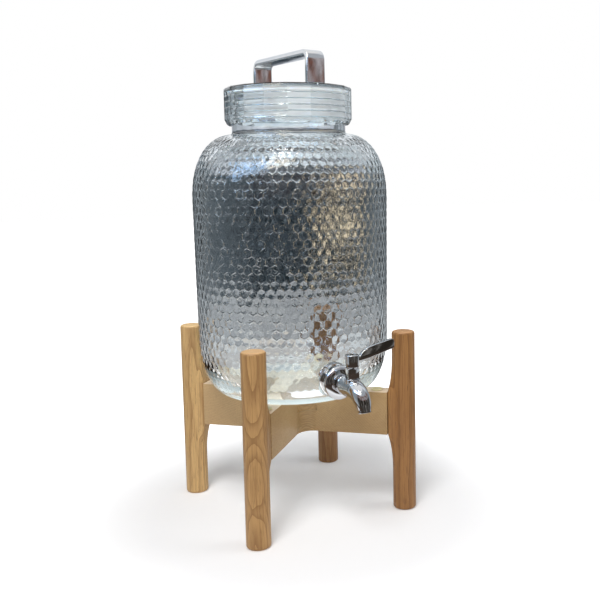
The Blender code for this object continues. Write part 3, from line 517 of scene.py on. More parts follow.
class Nodes:
    """The nodes of a material or of the world, with short names for those that feed its shader."""

    def __init__(self, owner):
        owner.use_nodes = True
        self.owner = owner
        self.tree = owner.node_tree
        self.shader = self.tree.nodes.get("Principled BSDF")

    def add(self, kind, **values):
        node = self.tree.nodes.new(kind)
        for key, value in values.items():
            setattr(node, key, value)
        return node

    def put(self, value, socket):
        """Sets a socket from a node's value, from a number, or from red, green and blue."""
        if isinstance(value, Value):
            self.tree.links.new(value.socket, socket)
        elif socket.type == "RGBA":
            socket.default_value = (*value, 1.0)
        else:
            socket.default_value = value

    def feed(self, node, **inputs):
        """Sets a node's inputs by their names."""
        for key, value in inputs.items():
            self.put(value, node.inputs[key.replace("_", " ")])
        return node

    def join(self, kind, *values):
        """A new shader node fed in the order of its inputs, which becomes the surface."""
        node = self.add(kind)
        for value, socket in zip(values, node.inputs):
            self.put(value, socket)
        self.tree.links.new(node.outputs[0], self.tree.nodes["Material Output"].inputs["Surface"])

    def math(self, operation, *values):
        node = self.add("ShaderNodeMath", operation=operation)
        for value, socket in zip(values, node.inputs):
            self.put(value, socket)
        return Value(self, node.outputs[0])

    def place(self, kind="Object"):
        return Value(self, self.add("ShaderNodeTexCoord").outputs[kind])

    def attribute(self, name):
        return Value(self, self.add("ShaderNodeAttribute", attribute_name=name).outputs["Fac"])

    def ray(self, kind):
        """1 for rays of a kind, such as Camera or Shadow, and 0 for others."""
        return Value(self, self.add("ShaderNodeLightPath").outputs[f"Is {kind} Ray"])

    def seen(self):
        """1 for rays that show in the picture: straight, mirrored or through glass."""
        direct = self.math("MAXIMUM", self.ray("Camera"), self.ray("Glossy"))
        return self.math("MAXIMUM", direct, self.ray("Transmission"))

    def mapped(self, vector, location=(0, 0, 0), rotation=(0, 0, 0), scale=(1, 1, 1)):
        node = self.add("ShaderNodeMapping")
        self.feed(node, Vector=vector, Location=location, Rotation=rotation, Scale=scale)
        return Value(self, node.outputs[0])

    def split(self, vector):
        """The x, the y and the z of a vector."""
        node = self.add("ShaderNodeSeparateXYZ")
        self.put(vector, node.inputs[0])
        return [Value(self, socket) for socket in node.outputs]

    def noise(self, vector, scale, detail=3.0, roughness=0.5, along=1.0):
        """Cloudy noise round one half. It is drawn out along Z where along is under 1."""
        if along != 1.0:
            vector = self.mapped(vector, scale=(1, 1, along))
        node = self.add("ShaderNodeTexNoise")
        self.feed(node, Vector=vector, Scale=scale, Detail=detail, Roughness=roughness)
        return Value(self, node.outputs["Fac"])

    def mix(self, share, first, second):
        """A colour from the first to the second, each a value or red, green and blue."""
        node = self.add("ShaderNodeMix", data_type="RGBA")
        for value, index in ((share, 0), (first, 6), (second, 7)):
            self.put(value, node.inputs[index])
        return Value(self, node.outputs[2])

    def stacked(self, height, layers):
        """Colours above each other, from the bottom as (height that it starts at, softness, colour)."""
        color = layers[0][2]
        for start, soft, layer in layers[1:]:
            color = self.mix(height.fade(start - soft, start + soft), color, layer)
        return color

    def bump(self, height, distance):
        node = self.feed(self.add("ShaderNodeBump"), Height=height, Distance=distance, Strength=1.0)
        self.feed(self.shader, Normal=Value(self, node.outputs[0]))


def drop_valleys(made, place):
    """Depth, in metres, of the steep valleys round the pressed drops, each drop a cell of a honeycomb."""
    x, y = made.split(made.mapped(place, location=(0, -AXIS_Y, 0)))[:2]
    across = made.math("ARCTAN2", y, x) * (DROPS_AROUND / TAU)
    along = made.attribute("drop_row")
    cells = []
    for shift in (0.0, 0.5):
        side = (across + shift).off_whole()
        up = (along + shift).off_whole()
        cells.append(made.math("MAXIMUM", side, up * 1.5 + side * 0.5) * 2.0)
    wobble = made.noise(place, 260.0, detail=2.0) - 0.5
    steep = (wobble * VALLEY_WOBBLE + made.math("MINIMUM", *cells)).fade(0.76, 1.0)
    uneven = made.noise(place, 170.0, detail=2.0, along=0.4).fade(0.40, 0.62, 0.05, 1.0)
    streaks = made.noise(place, 300.0, detail=1.0, along=0.35)
    return (streaks * STREAK_DEPTH + steep * uneven * -VALLEY_DEPTH) * made.attribute("drop_share")


def rib_share(made, place):
    """1 on the fine level ribs pressed into the lid's side, 0 between them."""
    travelled = (made.split(place)[2] - (LID_BOTTOM + LID_FOOT_HEIGHT)) / RIB_PITCH
    return travelled.off_whole().fade(0.16, 0.02) * travelled.fade(-0.2, -0.1)


def facet_clearness(made, place, ribs):
    """Share of light that passes the lid: least on its frosted flats, in a step from flat to flat."""
    x, y, z = made.split(made.mapped(place, location=(0, -AXIS_Y, 0)))
    number = made.math("FLOOR", (made.math("ARCTAN2", y, x) - LID_TURN) * (LID_FACETS / TAU))
    off_side = number * (2 * FACET_HALF) + (FACET_HALF + LID_TURN - FROST_SIDE)
    level = made.math("MAXIMUM", made.math("COSINE", off_side) * 1.3 - 0.3, 0.0)
    uneven = made.math("FRACT", number * FACET_STEP) * 0.35 + 0.70
    outer = made.math("SQRT", x * x + y * y).fade(LID_FLAT - 1.6 * MM, LID_FLAT - 0.8 * MM)
    side = z.fade(LID_TOP - 2.0 * MM, LID_TOP - 3.0 * MM)
    frost = level * uneven * outer * side * (1.0 - ribs * 0.55)
    return 1.0 - frost * FROST


def glass(name, tint, deep_tint, shade, waviness, has_drops=False):
    """Clear pressed glass: a faint tint that drifts, slow waves in its surface and light wipe marks.

    shade is the share of a lamp's light that passes it. With drops it is the jar's glass, with a painted glow
    at its lower rim; without, it is the lid's, with painted shade along its ribs.
    """
    made = Nodes(bpy.data.materials.new(name))
    place = made.place()
    color = made.mix(made.noise(place, 18.0, detail=2.0), tint, deep_tint)
    marks = made.noise(place, 55.0, detail=4.0, roughness=0.6, along=0.35)
    relief = made.noise(place, 90.0, detail=2.0) * waviness
    made.feed(made.shader, Roughness=marks.fade(0.45, 0.85, 0.0, 0.06), IOR=1.5, Transmission_Weight=1.0)
    if has_drops:
        # Painted glow: the lowest millimetres of the jar give off a faint light, for the light that its thick
        # base gathers
        painted_glow = made.split(place)[2].fade(JAR_BASE + RIM_PAINTED_GLOW_HEIGHT, JAR_BASE, 0.0, RIM_PAINTED_GLOW)
        made.feed(made.shader, Emission_Color=RIM_PAINTED_GLOW_TONE, Emission_Strength=painted_glow)
        relief = relief + drop_valleys(made, place)
    else:
        ribs = rib_share(made, place)
        made.feed(made.shader, Transmission_Weight=facet_clearness(made, place, ribs))
        relief = relief + ribs * RIB_HEIGHT
        # Painted shade: the ribs are tinted darker, standing in for the dark lines that their edges refract
        color = made.mix(ribs * 0.6, color, RIB_PAINTED_SHADE)
    made.feed(made.shader, Base_Color=color)
    made.bump(relief, 1.0)
    lamps = made.feed(made.add("ShaderNodeBsdfTransparent"), Color=shade)
    made.join("ShaderNodeMixShader", made.ray("Shadow"), Value(made, made.shader.outputs[0]),
              Value(made, lamps.outputs[0]))
    return made.owner


def steel(name, color, dull_color, low_rough, high_rough, waviness):
    """Polished steel: slight clouding, fine polishing scratches and the soft waves of a cast surface."""
    made = Nodes(bpy.data.materials.new(name))
    place = made.place()
    clouds = made.noise(place, 60.0, detail=4.0, roughness=0.6)
    scratches = made.noise(place, 420.0, detail=2.0, along=14.0)
    rough = (scratches * 0.25 + clouds * 0.75).fade(0.3, 0.75, low_rough, high_rough)
    made.feed(made.shader, Base_Color=made.mix(clouds, color, dull_color), Metallic=1.0, Roughness=rough)
    made.bump(made.noise(place, 140.0, detail=2.0), waviness)
    return made.owner


def silicone(name, color, deep_color, rough):
    """Soft translucent rubber with a faint haze and mould texture."""
    made = Nodes(bpy.data.materials.new(name))
    place = made.place()
    haze = made.noise(place, 240.0)
    made.feed(made.shader, Base_Color=made.mix(haze, color, deep_color),
              Roughness=haze.fade(0.3, 0.7, rough - 0.08, rough + 0.08), Subsurface_Weight=0.35,
              Subsurface_Radius=(1.0, 0.8, 0.5), Subsurface_Scale=3.0 * MM)
    made.bump(made.noise(place, 900.0, detail=2.0), 0.05 * MM)
    return made.owner


def wood(name, middle, turn, tones, pith, ring_width, seed, eyes=(), crown=None):
    """Oiled wood with its grain along the local Z axis, cut from rings about a pith beside the piece.

    middle and turn place the local frame: its +X is the way to the pith. eyes are heights, half lengths and
    reaches of bulges in the rings, which show as oval figures where the rings touch the surface. crown is a
    painted highlight: the pale colour that faces which look up are mixed towards.
    """
    made = Nodes(bpy.data.materials.new(name))
    pale, deep, dark = tones
    local = made.mapped(made.mapped(made.place(), location=tuple(-c for c in middle)), rotation=turn)
    seeded = made.mapped(local, location=(seed, seed * 0.7, seed * 1.3))
    x, y, z = made.split(local)
    bulge = (made.noise(seeded, 45.0, along=0.12) - 0.5) * (ring_width * 2.6)
    for height, half, reach in eyes:
        away = (z - height) / half
        bulge = bulge + reach / (away * away + 1.0)
    x = x - pith + bulge
    late = made.math("POWER", made.math("FRACT", made.math("SQRT", x * x + y * y) / ring_width), 3.0)
    fiber = made.noise(seeded, 900.0, detail=4.0, roughness=0.65, along=0.035)
    pores = made.noise(seeded, 1500.0, detail=2.0, along=0.06).fade(0.60, 0.72)

    color = made.mix(made.noise(seeded, 28.0, along=0.25).fade(0.3, 0.7), pale, deep)
    color = made.mix(late * 0.70, color, dark)
    color = made.mix(fiber.fade(0.42, 0.72) * 0.60, color, dark)
    color = made.mix(pores * 0.6, color, tuple(c * 0.55 for c in dark))
    normal = made.place("Normal")
    end = abs(made.split(made.mapped(normal, rotation=turn))[2]).fade(0.55, 0.95)
    end_grain = made.mix(late * 0.35, tuple(min(1, c * 1.25 + 0.08) for c in pale), deep)
    color = made.mix(end * 0.8, color, end_grain)
    # Painted highlight: faces that look up turn towards the pale crown colour
    if crown:
        color = made.mix(made.split(normal)[2].fade(0.6, 0.95, 0.0, 0.8), color, crown)
    made.feed(made.shader, Base_Color=color, Roughness=fiber.fade(0.3, 0.8, 0.36, 0.62),
              Specular_IOR_Level=0.4)
    made.bump(fiber * -0.6 + pores * -0.8, 0.12 * MM)
    return made.owner


# Jar

def thread_share(z, angles, start):
    """How far the two-turn ridge stands out at a height, for each angle round Z. Its ends taper."""
    share = np.zeros(len(angles))
    for lap in range(THREAD_TURNS):
        travelled = (angles - start) / TAU % 1.0 + lap
        taper = np.clip(np.minimum(travelled, THREAD_TURNS - travelled) / THREAD_TAPER, 0.0, 1.0)
        away = np.minimum(1.0, np.abs(z - THREAD_FOOT - THREAD_LEAD * travelled) / THREAD_HALF)
        share = np.maximum(share, taper * (1 + np.cos(math.pi * away)) / 2)
    return np.minimum(1.0, share * THREAD_FULLNESS)


def pattern_rows(points):
    """Points along a polyline at even shares of the drops' own pitch, which narrows with the radius."""
    travelled = [0.0]
    for (r0, z0), (r1, z1) in zip(points, points[1:]):
        pitch = TAU * (r0 + r1) / 2 / DROPS_AROUND * math.sqrt(3)
        travelled.append(travelled[-1] + math.hypot(r1 - r0, z1 - z0) / pitch)
    targets = np.arange(0, travelled[-1], 1 / ROWS_PER_PERIOD)
    radii = np.interp(targets, travelled, [p[0] for p in points])
    heights = np.interp(targets, travelled, [p[1] for p in points])
    return list(zip(radii, heights))


def drop_rise(row, around):
    """Height shares of the pressed drops: low round domes, packed like a honeycomb."""
    u = around * DROPS_AROUND / TAU
    v = row / ROWS_PER_PERIOD
    nearest = np.full(len(around), 9.0)
    for shift in (0.0, 0.5):
        du = u - shift - np.round(u - shift)
        dv = (v - shift - round(v - shift)) * math.sqrt(3)
        nearest = np.minimum(nearest, np.hypot(du, dv) / 0.5)
    return np.maximum(0.0, 1 - nearest * nearest)


def jar_outlines(floor_z):
    """(radius, height) points: the body with the drops, then the neck's foot, the rim and the inside."""
    body = oval(BASE_RADIUS, WALL_BOTTOM, CORNER_REACH, CORNER_HEIGHT, -90, 0, 60)
    body += [point for point in full_arc(NECK_RADIUS, WALL_TOP, SHOULDER_REACH, SHOULDER_HEIGHT, 120)
             if point[0] >= NECK_RADIUS + NECK_FILLET]
    body = pattern_rows(body)
    foot = arc(NECK_RADIUS + NECK_FILLET, body[-1][1] + NECK_FILLET, NECK_FILLET, 262, 180, 5)
    rim = arc(NECK_RADIUS - RIM_ROUND, RIM_Z - RIM_ROUND, RIM_ROUND, 15, 90, 4)
    rim += arc(MOUTH_RADIUS + RIM_ROUND, RIM_Z - RIM_ROUND, RIM_ROUND, 90, 180, 4)
    inside = full_arc(MOUTH_RADIUS, WALL_TOP, JAR_RADIUS - WALL_GLASS - MOUTH_RADIUS,
                      SHOULDER_HEIGHT - WALL_GLASS, 12)[::-1]
    inside += oval(BASE_RADIUS - WALL_GLASS, WALL_BOTTOM, CORNER_REACH, WALL_BOTTOM - floor_z, 0, -90, 10)
    return body, foot, rim, inside


def make_jar(material):
    columns = DROPS_AROUND * COLUMNS_PER_DROP
    around = np.arange(columns) * TAU / columns
    floor_z = JAR_BASE + FLOOR_GLASS
    body, foot, rim, inside = jar_outlines(floor_z)
    rings = [ring(BASE_RADIUS / 2, JAR_BASE, around)]
    drop_rows = [0.0]
    drop_shares = [0.0]
    for i, (radius, z) in enumerate(body):
        before = body[max(i - 1, 0)]
        after = body[min(i + 1, len(body) - 1)]
        out_r = after[1] - before[1]
        out_z = before[0] - after[0]
        size = math.hypot(out_r, out_z)
        low = wave(clamp((z - JAR_BASE - DROP_START) / DROP_FADE_IN))
        high = wave(clamp((NECK_FOOT - DROP_END - z) / DROP_FADE_OUT))
        uneven = 1 + DROP_UNEVEN * np.sin(3 * around + z * 61) * np.sin(5 * around - z * 143)
        sunk = DROP_HEIGHT * low * high * uneven * (1 - drop_rise(i, around))
        rings.append(ring(radius - sunk * out_r / size, z - sunk * out_z / size, around))
        drop_rows.append(i / ROWS_PER_PERIOD)
        drop_shares.append(wave(clamp((z - JAR_BASE - CORNER_HEIGHT / 3) / CORNER_HEIGHT)) * high)
    rings += [ring(radius, z, around) for radius, z in foot[1:]]
    for z in np.linspace(foot[-1][1], RIM_Z - RIM_ROUND, NECK_ROWS + 1)[1:]:
        rings.append(ring(NECK_RADIUS + THREAD_PROUD * thread_share(z, around, 0.0), z, around))
    rings += [ring(radius, z, around) for radius, z in rim[1:] + inside]
    jar = shell("jar", rings, (0, 0, JAR_BASE), (0, 0, floor_z), sharp=50, **ON_JAR)
    for title, values in (("drop_row", drop_rows), ("drop_share", drop_shares)):
        kept = np.zeros(len(jar.data.vertices))
        kept[:len(values) * columns] = np.repeat(values, columns)
        jar.data.attributes.new(title, "FLOAT", "POINT").data.foreach_set("value", kept)

    boss = [(0, BOSS_FACE)] + arc(BOSS_RADIUS - BOSS_EDGE, BOSS_FACE - BOSS_EDGE, BOSS_EDGE, 90, 10, 4)
    boss += [(BOSS_RADIUS + BOSS_DRAFT, SEAT_FACE - WALL_GLASS / 2), (0, SEAT_FACE - WALL_GLASS / 2)]
    combine(jar, "UNION", lathe("boss", boss, **ON_TAP))
    combine(jar, "DIFFERENCE", rod(POCKET_RADIUS, SHANK_TAIL, SEAT_FACE, 96, **ON_TAP),
            rod(SHANK_RADIUS + GAP, SHANK_TAIL, FLANGE_BACK, 64, **ON_TAP))
    smooth(jar, 50)
    settle(jar, "jar", "jar_glass", material, "jar_base", "jar_wall", "jar_neck")


# Lid, seal and handle

def facet_radius(angles, inset):
    """Distances from the axis to the faceted side, its corners softly rounded."""
    off = angles % (2 * FACET_HALF) - FACET_HALF
    flat = LID_FLAT - inset
    edge = np.maximum(0.0, (np.abs(off) / FACET_HALF - FACET_ROUND) / (1 - FACET_ROUND))
    rounding = flat / math.cos(FACET_HALF) - flat / math.cos((1 + FACET_ROUND) / 2 * FACET_HALF)
    return flat / np.cos(off) - rounding / 2 * edge * edge


def make_lid(material):
    shares = (-1.0, -0.97, -0.94, -0.88, -0.45, 0.0, 0.45, 0.88, 0.94, 0.97)
    angles = np.array([(2 * k + 1 + share) * FACET_HALF for k in range(LID_FACETS) for share in shares])
    foot_z = LID_BOTTOM + LID_FOOT_HEIGHT
    underside = LID_TOP - LID_PLATE
    outer = [(LID_CHAMFER + 0.6 * MM, LID_TOP), (LID_CHAMFER, LID_TOP - 0.06 * MM),
             (0.35 * MM, LID_TOP - LID_CHAMFER * 0.75), (0.08 * MM, LID_TOP - LID_CHAMFER),
             (0.0, LID_TOP - LID_CHAMFER * 1.35), (0.0, foot_z + 0.9 * MM), (0.1 * MM, foot_z + 0.2 * MM),
             (0.35 * MM, foot_z - 0.4 * MM), (LID_FOOT_INSET - 0.3 * MM, LID_BOTTOM + 0.5 * MM),
             (LID_FOOT_INSET, LID_BOTTOM + 0.12 * MM), (LID_FOOT_INSET + 0.25 * MM, LID_BOTTOM)]
    rings = [ring(LID_FLAT / 2, LID_TOP, angles)]
    rings += [ring(facet_radius(angles, inset), z, angles) for inset, z in outer]
    for i, z in enumerate(np.linspace(LID_BOTTOM, underside, LID_BORE_ROWS + 1)):
        flare = LID_FLARE if i == 0 else 0.0
        ridge = THREAD_PROUD * thread_share(z, angles + LID_TURN, math.pi)
        rings.append(ring(LID_BORE + flare - ridge, z, angles))
    rings.append(ring(LID_BORE / 2, underside, angles))
    lid = shell("lid_shell", rings, (0, 0, LID_TOP), (0, 0, underside), rotation=(0, 0, LID_TURN), sharp=30,
                **ON_JAR)
    for side in ("front", "back"):
        low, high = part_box("handle_screw_" + side)
        middle = (low + high) / 2
        head = (high.x - low.x) / 2 + GAP
        hole = [(0, LID_TOP + GAP), (LID_SCREW_SHANK, LID_TOP + GAP),
                (LID_SCREW_SHANK, underside + LID_SCREW_SEAT), (head, underside + GAP),
                (head, underside - GAP), (0, underside - GAP)]
        combine(lid, "DIFFERENCE", lathe("hole", hole, steps=32, location=(middle.x, middle.y, 0)))
    smooth(lid, 30)
    settle(lid, "lid", "lid_glass", material, "lid")


def rounded_ring(name, inner, outer, low, high, edge, **where):
    """A flat ring with rounded edges."""
    profile = []
    for r, z, start in ((outer - edge, high - edge, 90), (outer - edge, low + edge, 0),
                        (inner + edge, low + edge, -90), (inner + edge, high - edge, -180)):
        profile += arc(r, z, edge, start, start - 90, 4)
    return lathe(name, profile, steps=128, loop=True, **where)


def make_seal(material):
    outer = (seal_high.x - seal_low.x) / 2
    seal = rounded_ring("seal_ring", MOUTH_RADIUS - SEAL_OVERLAP, outer, seal_low.z, seal_high.z, SEAL_EDGE,
                        **ON_JAR)
    settle(seal, "seal", "clear_silicone", material, "lid_seal")


def make_handle(material):
    """A strap bent into a bridge, with evenly rounded edges."""
    foot = handle_low.z
    top = handle_high.z
    outer = LID_CORNER - HANDLE_FROM_EDGE + HANDLE_THICKNESS / 2
    inner = outer - HANDLE_THICKNESS
    under = top - HANDLE_THICKNESS
    outside = [(outer, foot)] + arc(outer - HANDLE_OUTER_ROUND, top - HANDLE_OUTER_ROUND, HANDLE_OUTER_ROUND,
                                    0, 90, 16)
    inside = arc(inner - HANDLE_INNER_ROUND, under - HANDLE_INNER_ROUND, HANDLE_INNER_ROUND, 90, 0, 12)
    inside.append((inner, foot))
    outline = outside + [(-x, z) for x, z in reversed(outside)]
    outline += [(-x, z) for x, z in reversed(inside)] + inside
    handle = extruded("handle", outline, -HANDLE_WIDTH / 2, HANDLE_WIDTH / 2,
                      rotation=(math.pi / 2, 0, math.pi / 2 + LID_TURN + HANDLE_TURN), **ON_JAR)
    soften(handle, HANDLE_EDGE, segments=5)
    smooth(handle, 50)
    settle(handle, "lid", "polished_steel", material, "lid_handle")


# Tap

def spout_run():
    """The bent part of the spout as (distance from the jar's axis, height over the tap's axis)."""
    angles = [SPOUT_ANGLE * i / SPOUT_ROWS for i in range(SPOUT_ROWS + 1)]
    run = [(STEM_REACH + SPOUT_STRAIGHT + SPOUT_BEND * math.sin(a), -SPOUT_BEND * (1 - math.cos(a)))
           for a in angles]
    return run + [further(run[-1], SPOUT_TAIL * share) for share in SPOUT_TAIL_SHARES]


def further(point, distance):
    """The point that lies some way on along the spout's end."""
    return point[0] + distance * math.cos(SPOUT_ANGLE), point[1] - distance * math.sin(SPOUT_ANGLE)


def in_world(run):
    return [(AXIS_Y - reach, TAP_Z + height) for reach, height in run]


def make_tap(material):
    throat_end = BODY_REAR + BODY_EDGE * 2
    edge = FLANGE_EDGE / 2
    profile = [(0, throat_end), (FLANGE_THROAT, throat_end)]
    profile += oval(FLANGE_THROAT, FLANGE_BACK + FLANGE_EDGE, FLANGE_RADIUS - FLANGE_THROAT, FLANGE_DOME,
                    90, 0, 20)
    profile += arc(FLANGE_RADIUS - edge, FLANGE_BACK + edge, edge, 0, -90, 8)
    profile += [(SHANK_RADIUS, FLANGE_BACK), (SHANK_RADIUS, SHANK_TAIL), (0, SHANK_TAIL)]
    body = lathe("tap", profile, **ON_TAP)

    rear = arc(BODY_RADIUS - BODY_EDGE, BODY_EDGE, BODY_EDGE, -90, 0, 8)
    path = [(BODY_REAR + distance, 0) for radius, distance in rear]
    radii = [radius for radius, distance in rear]
    bend = [(STEM_REACH, 0)] + spout_run()
    for i, point in enumerate(bend):
        share = min(1.0, i / (len(bend) - len(SPOUT_TAIL_SHARES)))
        path.append(point)
        radii.append(BODY_WAIST - (BODY_WAIST - SPOUT_RADIUS) * share ** SPOUT_TAPER_POWER)
    radii[-1] -= SPOUT_LIP
    radii[-2] -= SPOUT_LIP / 4
    necklet = [(0, NECKLET_TOP)]
    necklet += arc(NECKLET_RADIUS - NECKLET_EDGE, NECKLET_TOP - NECKLET_EDGE, NECKLET_EDGE, 90, 0, 4)
    necklet += [(NECKLET_RADIUS, TAP_Z), (0, TAP_Z)]
    combine(body, "UNION", tube(in_world(path), radii), lathe("necklet", necklet, steps=64, **ON_STEM))

    waterway = bend + [further(bend[-1], SPOUT_WALL)]
    bore = SPOUT_RADIUS - SPOUT_WALL
    widths = [bore] * (len(waterway) - 2) + [bore + SPOUT_LIP * 0.3, bore + SPOUT_LIP]
    combine(body, "DIFFERENCE", tube(in_world(waterway), widths, sides=48),
            rod(INLET_BORE, SHANK_TAIL - GAP, STEM_REACH, **ON_TAP),
            rod(CHAMBER_RADIUS, PLUG_BOTTOM - GAP, NECKLET_TOP + GAP, **ON_STEM))
    smooth(body, 35)
    settle(body, "jar", "polished_steel", material, "tap_body")


def make_bonnet(material):
    """The hexagonal bonnet over the valve, its top corners turned off."""
    seat = NECKLET_TOP + GAP
    spigot_low = bonnet_low.z
    bonnet = extruded("bonnet", hexagon(BONNET_RADIUS, math.pi / 6), seat, BONNET_TOP, **ON_STEM)
    soften(bonnet, BONNET_EDGE)
    crown = [(0, BONNET_TOP), (BONNET_RADIUS - BONNET_CHAMFER * 0.6, BONNET_TOP),
             (BONNET_RADIUS + GAP, BONNET_TOP - BONNET_CHAMFER * 0.75), (BONNET_RADIUS + GAP, seat),
             (0, seat)]
    combine(bonnet, "INTERSECT", lathe("crown", crown, steps=64, **ON_STEM))
    combine(bonnet, "UNION", rod(CHAMBER_RADIUS - GAP, spigot_low, seat + GAP, **ON_STEM))
    combine(bonnet, "DIFFERENCE", rod(STEM_RADIUS + GAP, spigot_low - GAP, BONNET_TOP + GAP, **ON_STEM))
    smooth(bonnet, 30)
    settle(bonnet, "jar", "polished_steel", material, "bonnet_nut")


def make_washers(material):
    for name in ("outer_washer", "inner_washer"):
        low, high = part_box(name)
        washer = rounded_ring(name + "_ring", SHANK_RADIUS + GAP, (high.x - low.x) / 2, AXIS_Y - high.y,
                              AXIS_Y - low.y, WASHER_EDGE, **ON_TAP)
        settle(washer, "jar", "clear_silicone", material, name)


def make_lock_nut(material):
    low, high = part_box("lock_nut")
    start = AXIS_Y - high.y
    end = AXIS_Y - low.y
    radius = (high.x - low.x) / 2
    nut = extruded("inner_nut", hexagon(radius), start, end, **ON_TAP)
    soften(nut, NUT_EDGE)
    crown = [(0, end + GAP), (radius + GAP, end + GAP), (radius + GAP, start + NUT_CROWN_HEIGHT),
             (radius - NUT_CROWN_REACH, start), (0, start)]
    combine(nut, "INTERSECT", lathe("crown", crown, steps=72, **ON_TAP))
    combine(nut, "DIFFERENCE", rod(SHANK_RADIUS + GAP, start - GAP, end + GAP, 64, **ON_TAP))
    smooth(nut, 30)
    settle(nut, "jar", "polished_steel", material, "lock_nut")


# Lever

def curve_through(points, steps):
    """A smooth line through a few (x, z) points, by a Catmull-Rom spline."""
    result = []
    padded = [points[0]] + list(points) + [points[-1]]
    for corners in zip(padded, padded[1:], padded[2:], padded[3:]):
        for i in range(steps):
            t = i / steps
            result.append(tuple(
                0.5 * (2 * b + (c - a) * t + (2 * a - 5 * b + 4 * c - d) * t * t
                       + (3 * b - a - 3 * c + d) * t ** 3)
                for a, b, c, d in zip(*corners)))
    result.append(points[-1])
    return result


def make_lever(material):
    """The hub on the valve's stem and its rising paddle."""
    height = HUB_TOP - HUB_BOTTOM
    round_half = HUB_ROUND / 2
    outline = [(0, RECESS_FLOOR), (RECESS_RADIUS, RECESS_FLOOR), (RECESS_RADIUS, HUB_TOP - round_half)]
    outline += arc(RECESS_RADIUS + round_half, HUB_TOP - round_half, round_half, 150, 90, 3)
    outline += arc(HUB_RADIUS - HUB_ROUND, HUB_TOP - HUB_ROUND, HUB_ROUND, 90, 0, 5)
    outline += arc(HUB_RADIUS - round_half, HUB_BOTTOM + round_half, round_half, 0, -90, 4)
    outline.append((0, HUB_BOTTOM))
    lever = lathe("lever", outline, **ON_STEM)

    tip = LEVER_LENGTH - LEVER_END_ROUND
    places = [HUB_RADIUS / 2] + [LEVER_LENGTH * share for share in LEVER_PLACES] + [tip]
    low = curve_through([(x, HUB_BOTTOM + height * share) for x, share in zip(places, LEVER_UNDERSIDE)], 5)
    high = curve_through([(x, HUB_BOTTOM + height * share) for x, share in zip(places, LEVER_UPPER_SIDE)], 5)
    end = arc(tip, low[-1][1] + LEVER_END_ROUND, LEVER_END_ROUND, -90, 0, 5)[1:]
    end += arc(tip, high[-1][1] - LEVER_END_ROUND, LEVER_END_ROUND, 0, 90, 5)[:-1]
    blade = extruded("blade", low + end + high[::-1], -LEVER_THICKNESS / 2, LEVER_THICKNESS / 2,
                     rotation=(math.pi / 2, 0, 0), **ON_STEM)
    soften(blade, LEVER_EDGE, segments=4, angle=50)
    combine(lever, "UNION", blade)
    combine(lever, "DIFFERENCE", rod(STEM_RADIUS + GAP, HUB_BOTTOM - GAP, STEM_SEAT, **ON_STEM),
            rod(RECESS_RADIUS, RECESS_FLOOR, HUB_TOP + GAP, 96, **ON_STEM),
            rod(LEVER_SCREW_WAY, HUB_BOTTOM, HUB_TOP, 32, **ON_STEM))
    smooth(lever, 35)
    settle(lever, "lever", "polished_steel", material, "tap_lever")


def make_lever_screw(material):
    """The screw in the hub's recess: a domed cap with a hexagon socket."""
    head = (screw_high.x - screw_low.x) / 2
    top = screw_high.z
    seat = RECESS_FLOOR + GAP
    outline = [(0, top)] + arc(head - HUB_ROUND, top - HUB_ROUND, HUB_ROUND, 90, 0, 6)
    outline += [(head, seat), (LEVER_SCREW_SHANK, seat), (LEVER_SCREW_SHANK, screw_low.z), (0, screw_low.z)]
    screw = lathe("hub_screw", outline, steps=64, **ON_STEM)
    combine(screw, "DIFFERENCE", rod(head / 2, seat + GAP, top + GAP, 6, **ON_STEM))
    smooth(screw, 35)
    settle(screw, "lever", "polished_steel", material, "lever_screw")


# Stand

def stand_angle(bearing):
    return math.radians(bearing + STAND_TURN)


def leg_spot(bearing):
    distance = JAR_RADIUS + LEG_TO_JAR + LEG_RADIUS
    angle = stand_angle(bearing)
    return distance * math.cos(angle), AXIS_Y + distance * math.sin(angle), 0


def flare_reach(angle):
    """Distance from a leg's axis to its full flare, whose flat faces +X."""
    if math.cos(angle) <= 0.05:
        return LEG_RADIUS
    flat = (LEG_RADIUS + FLARE_DEPTH) / math.cos(angle)
    side = RAIL_THICKNESS / 2 / max(abs(math.sin(angle)), 0.001)
    power = -FLARE_CORNER_POWER
    return max(LEG_RADIUS, (flat ** power + side ** power) ** (1 / power))


def flare_weight(z):
    """Share of the full flare at a height: all of it along the rail, fading out above and below."""
    if z < RAIL_LOW:
        away = (RAIL_LOW - z) / FLARE_FALL
    else:
        away = (z - RAIL_HIGH) / FLARE_RISE
    return (1 - clamp(away)) ** 2


def leg_levels(height):
    """Heights of a leg's rings, closer where its outline bends."""
    ends = [point[1] for point in arc(0, LEG_ROUND, LEG_ROUND, -90, 0, 6)]
    levels = list(ends)
    for level, steps in ((RAIL_LOW - FLARE_FALL, 12), (RAIL_LOW, 14), (RAIL_HIGH, 6),
                         (RAIL_HIGH + FLARE_RISE, 18), (height - LEG_ROUND, 8)):
        levels += list(np.linspace(levels[-1], level, steps))[1:]
    return levels + [height - z for z in reversed(ends[:-1])]


def dowel_holes(leg, bearing):
    """Cutters round a leg's two dowels, a little wider and longer than the dowels themselves."""
    for number in (1, 2):
        low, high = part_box(f"{leg}_dowel_{number}")
        yield rod((high.z - low.z) / 2 + GAP, -DOWEL_HALF_LENGTH, DOWEL_HALF_LENGTH, 32,
                  location=tuple((low + high) / 2), rotation=(0, math.pi / 2, stand_angle(bearing)))


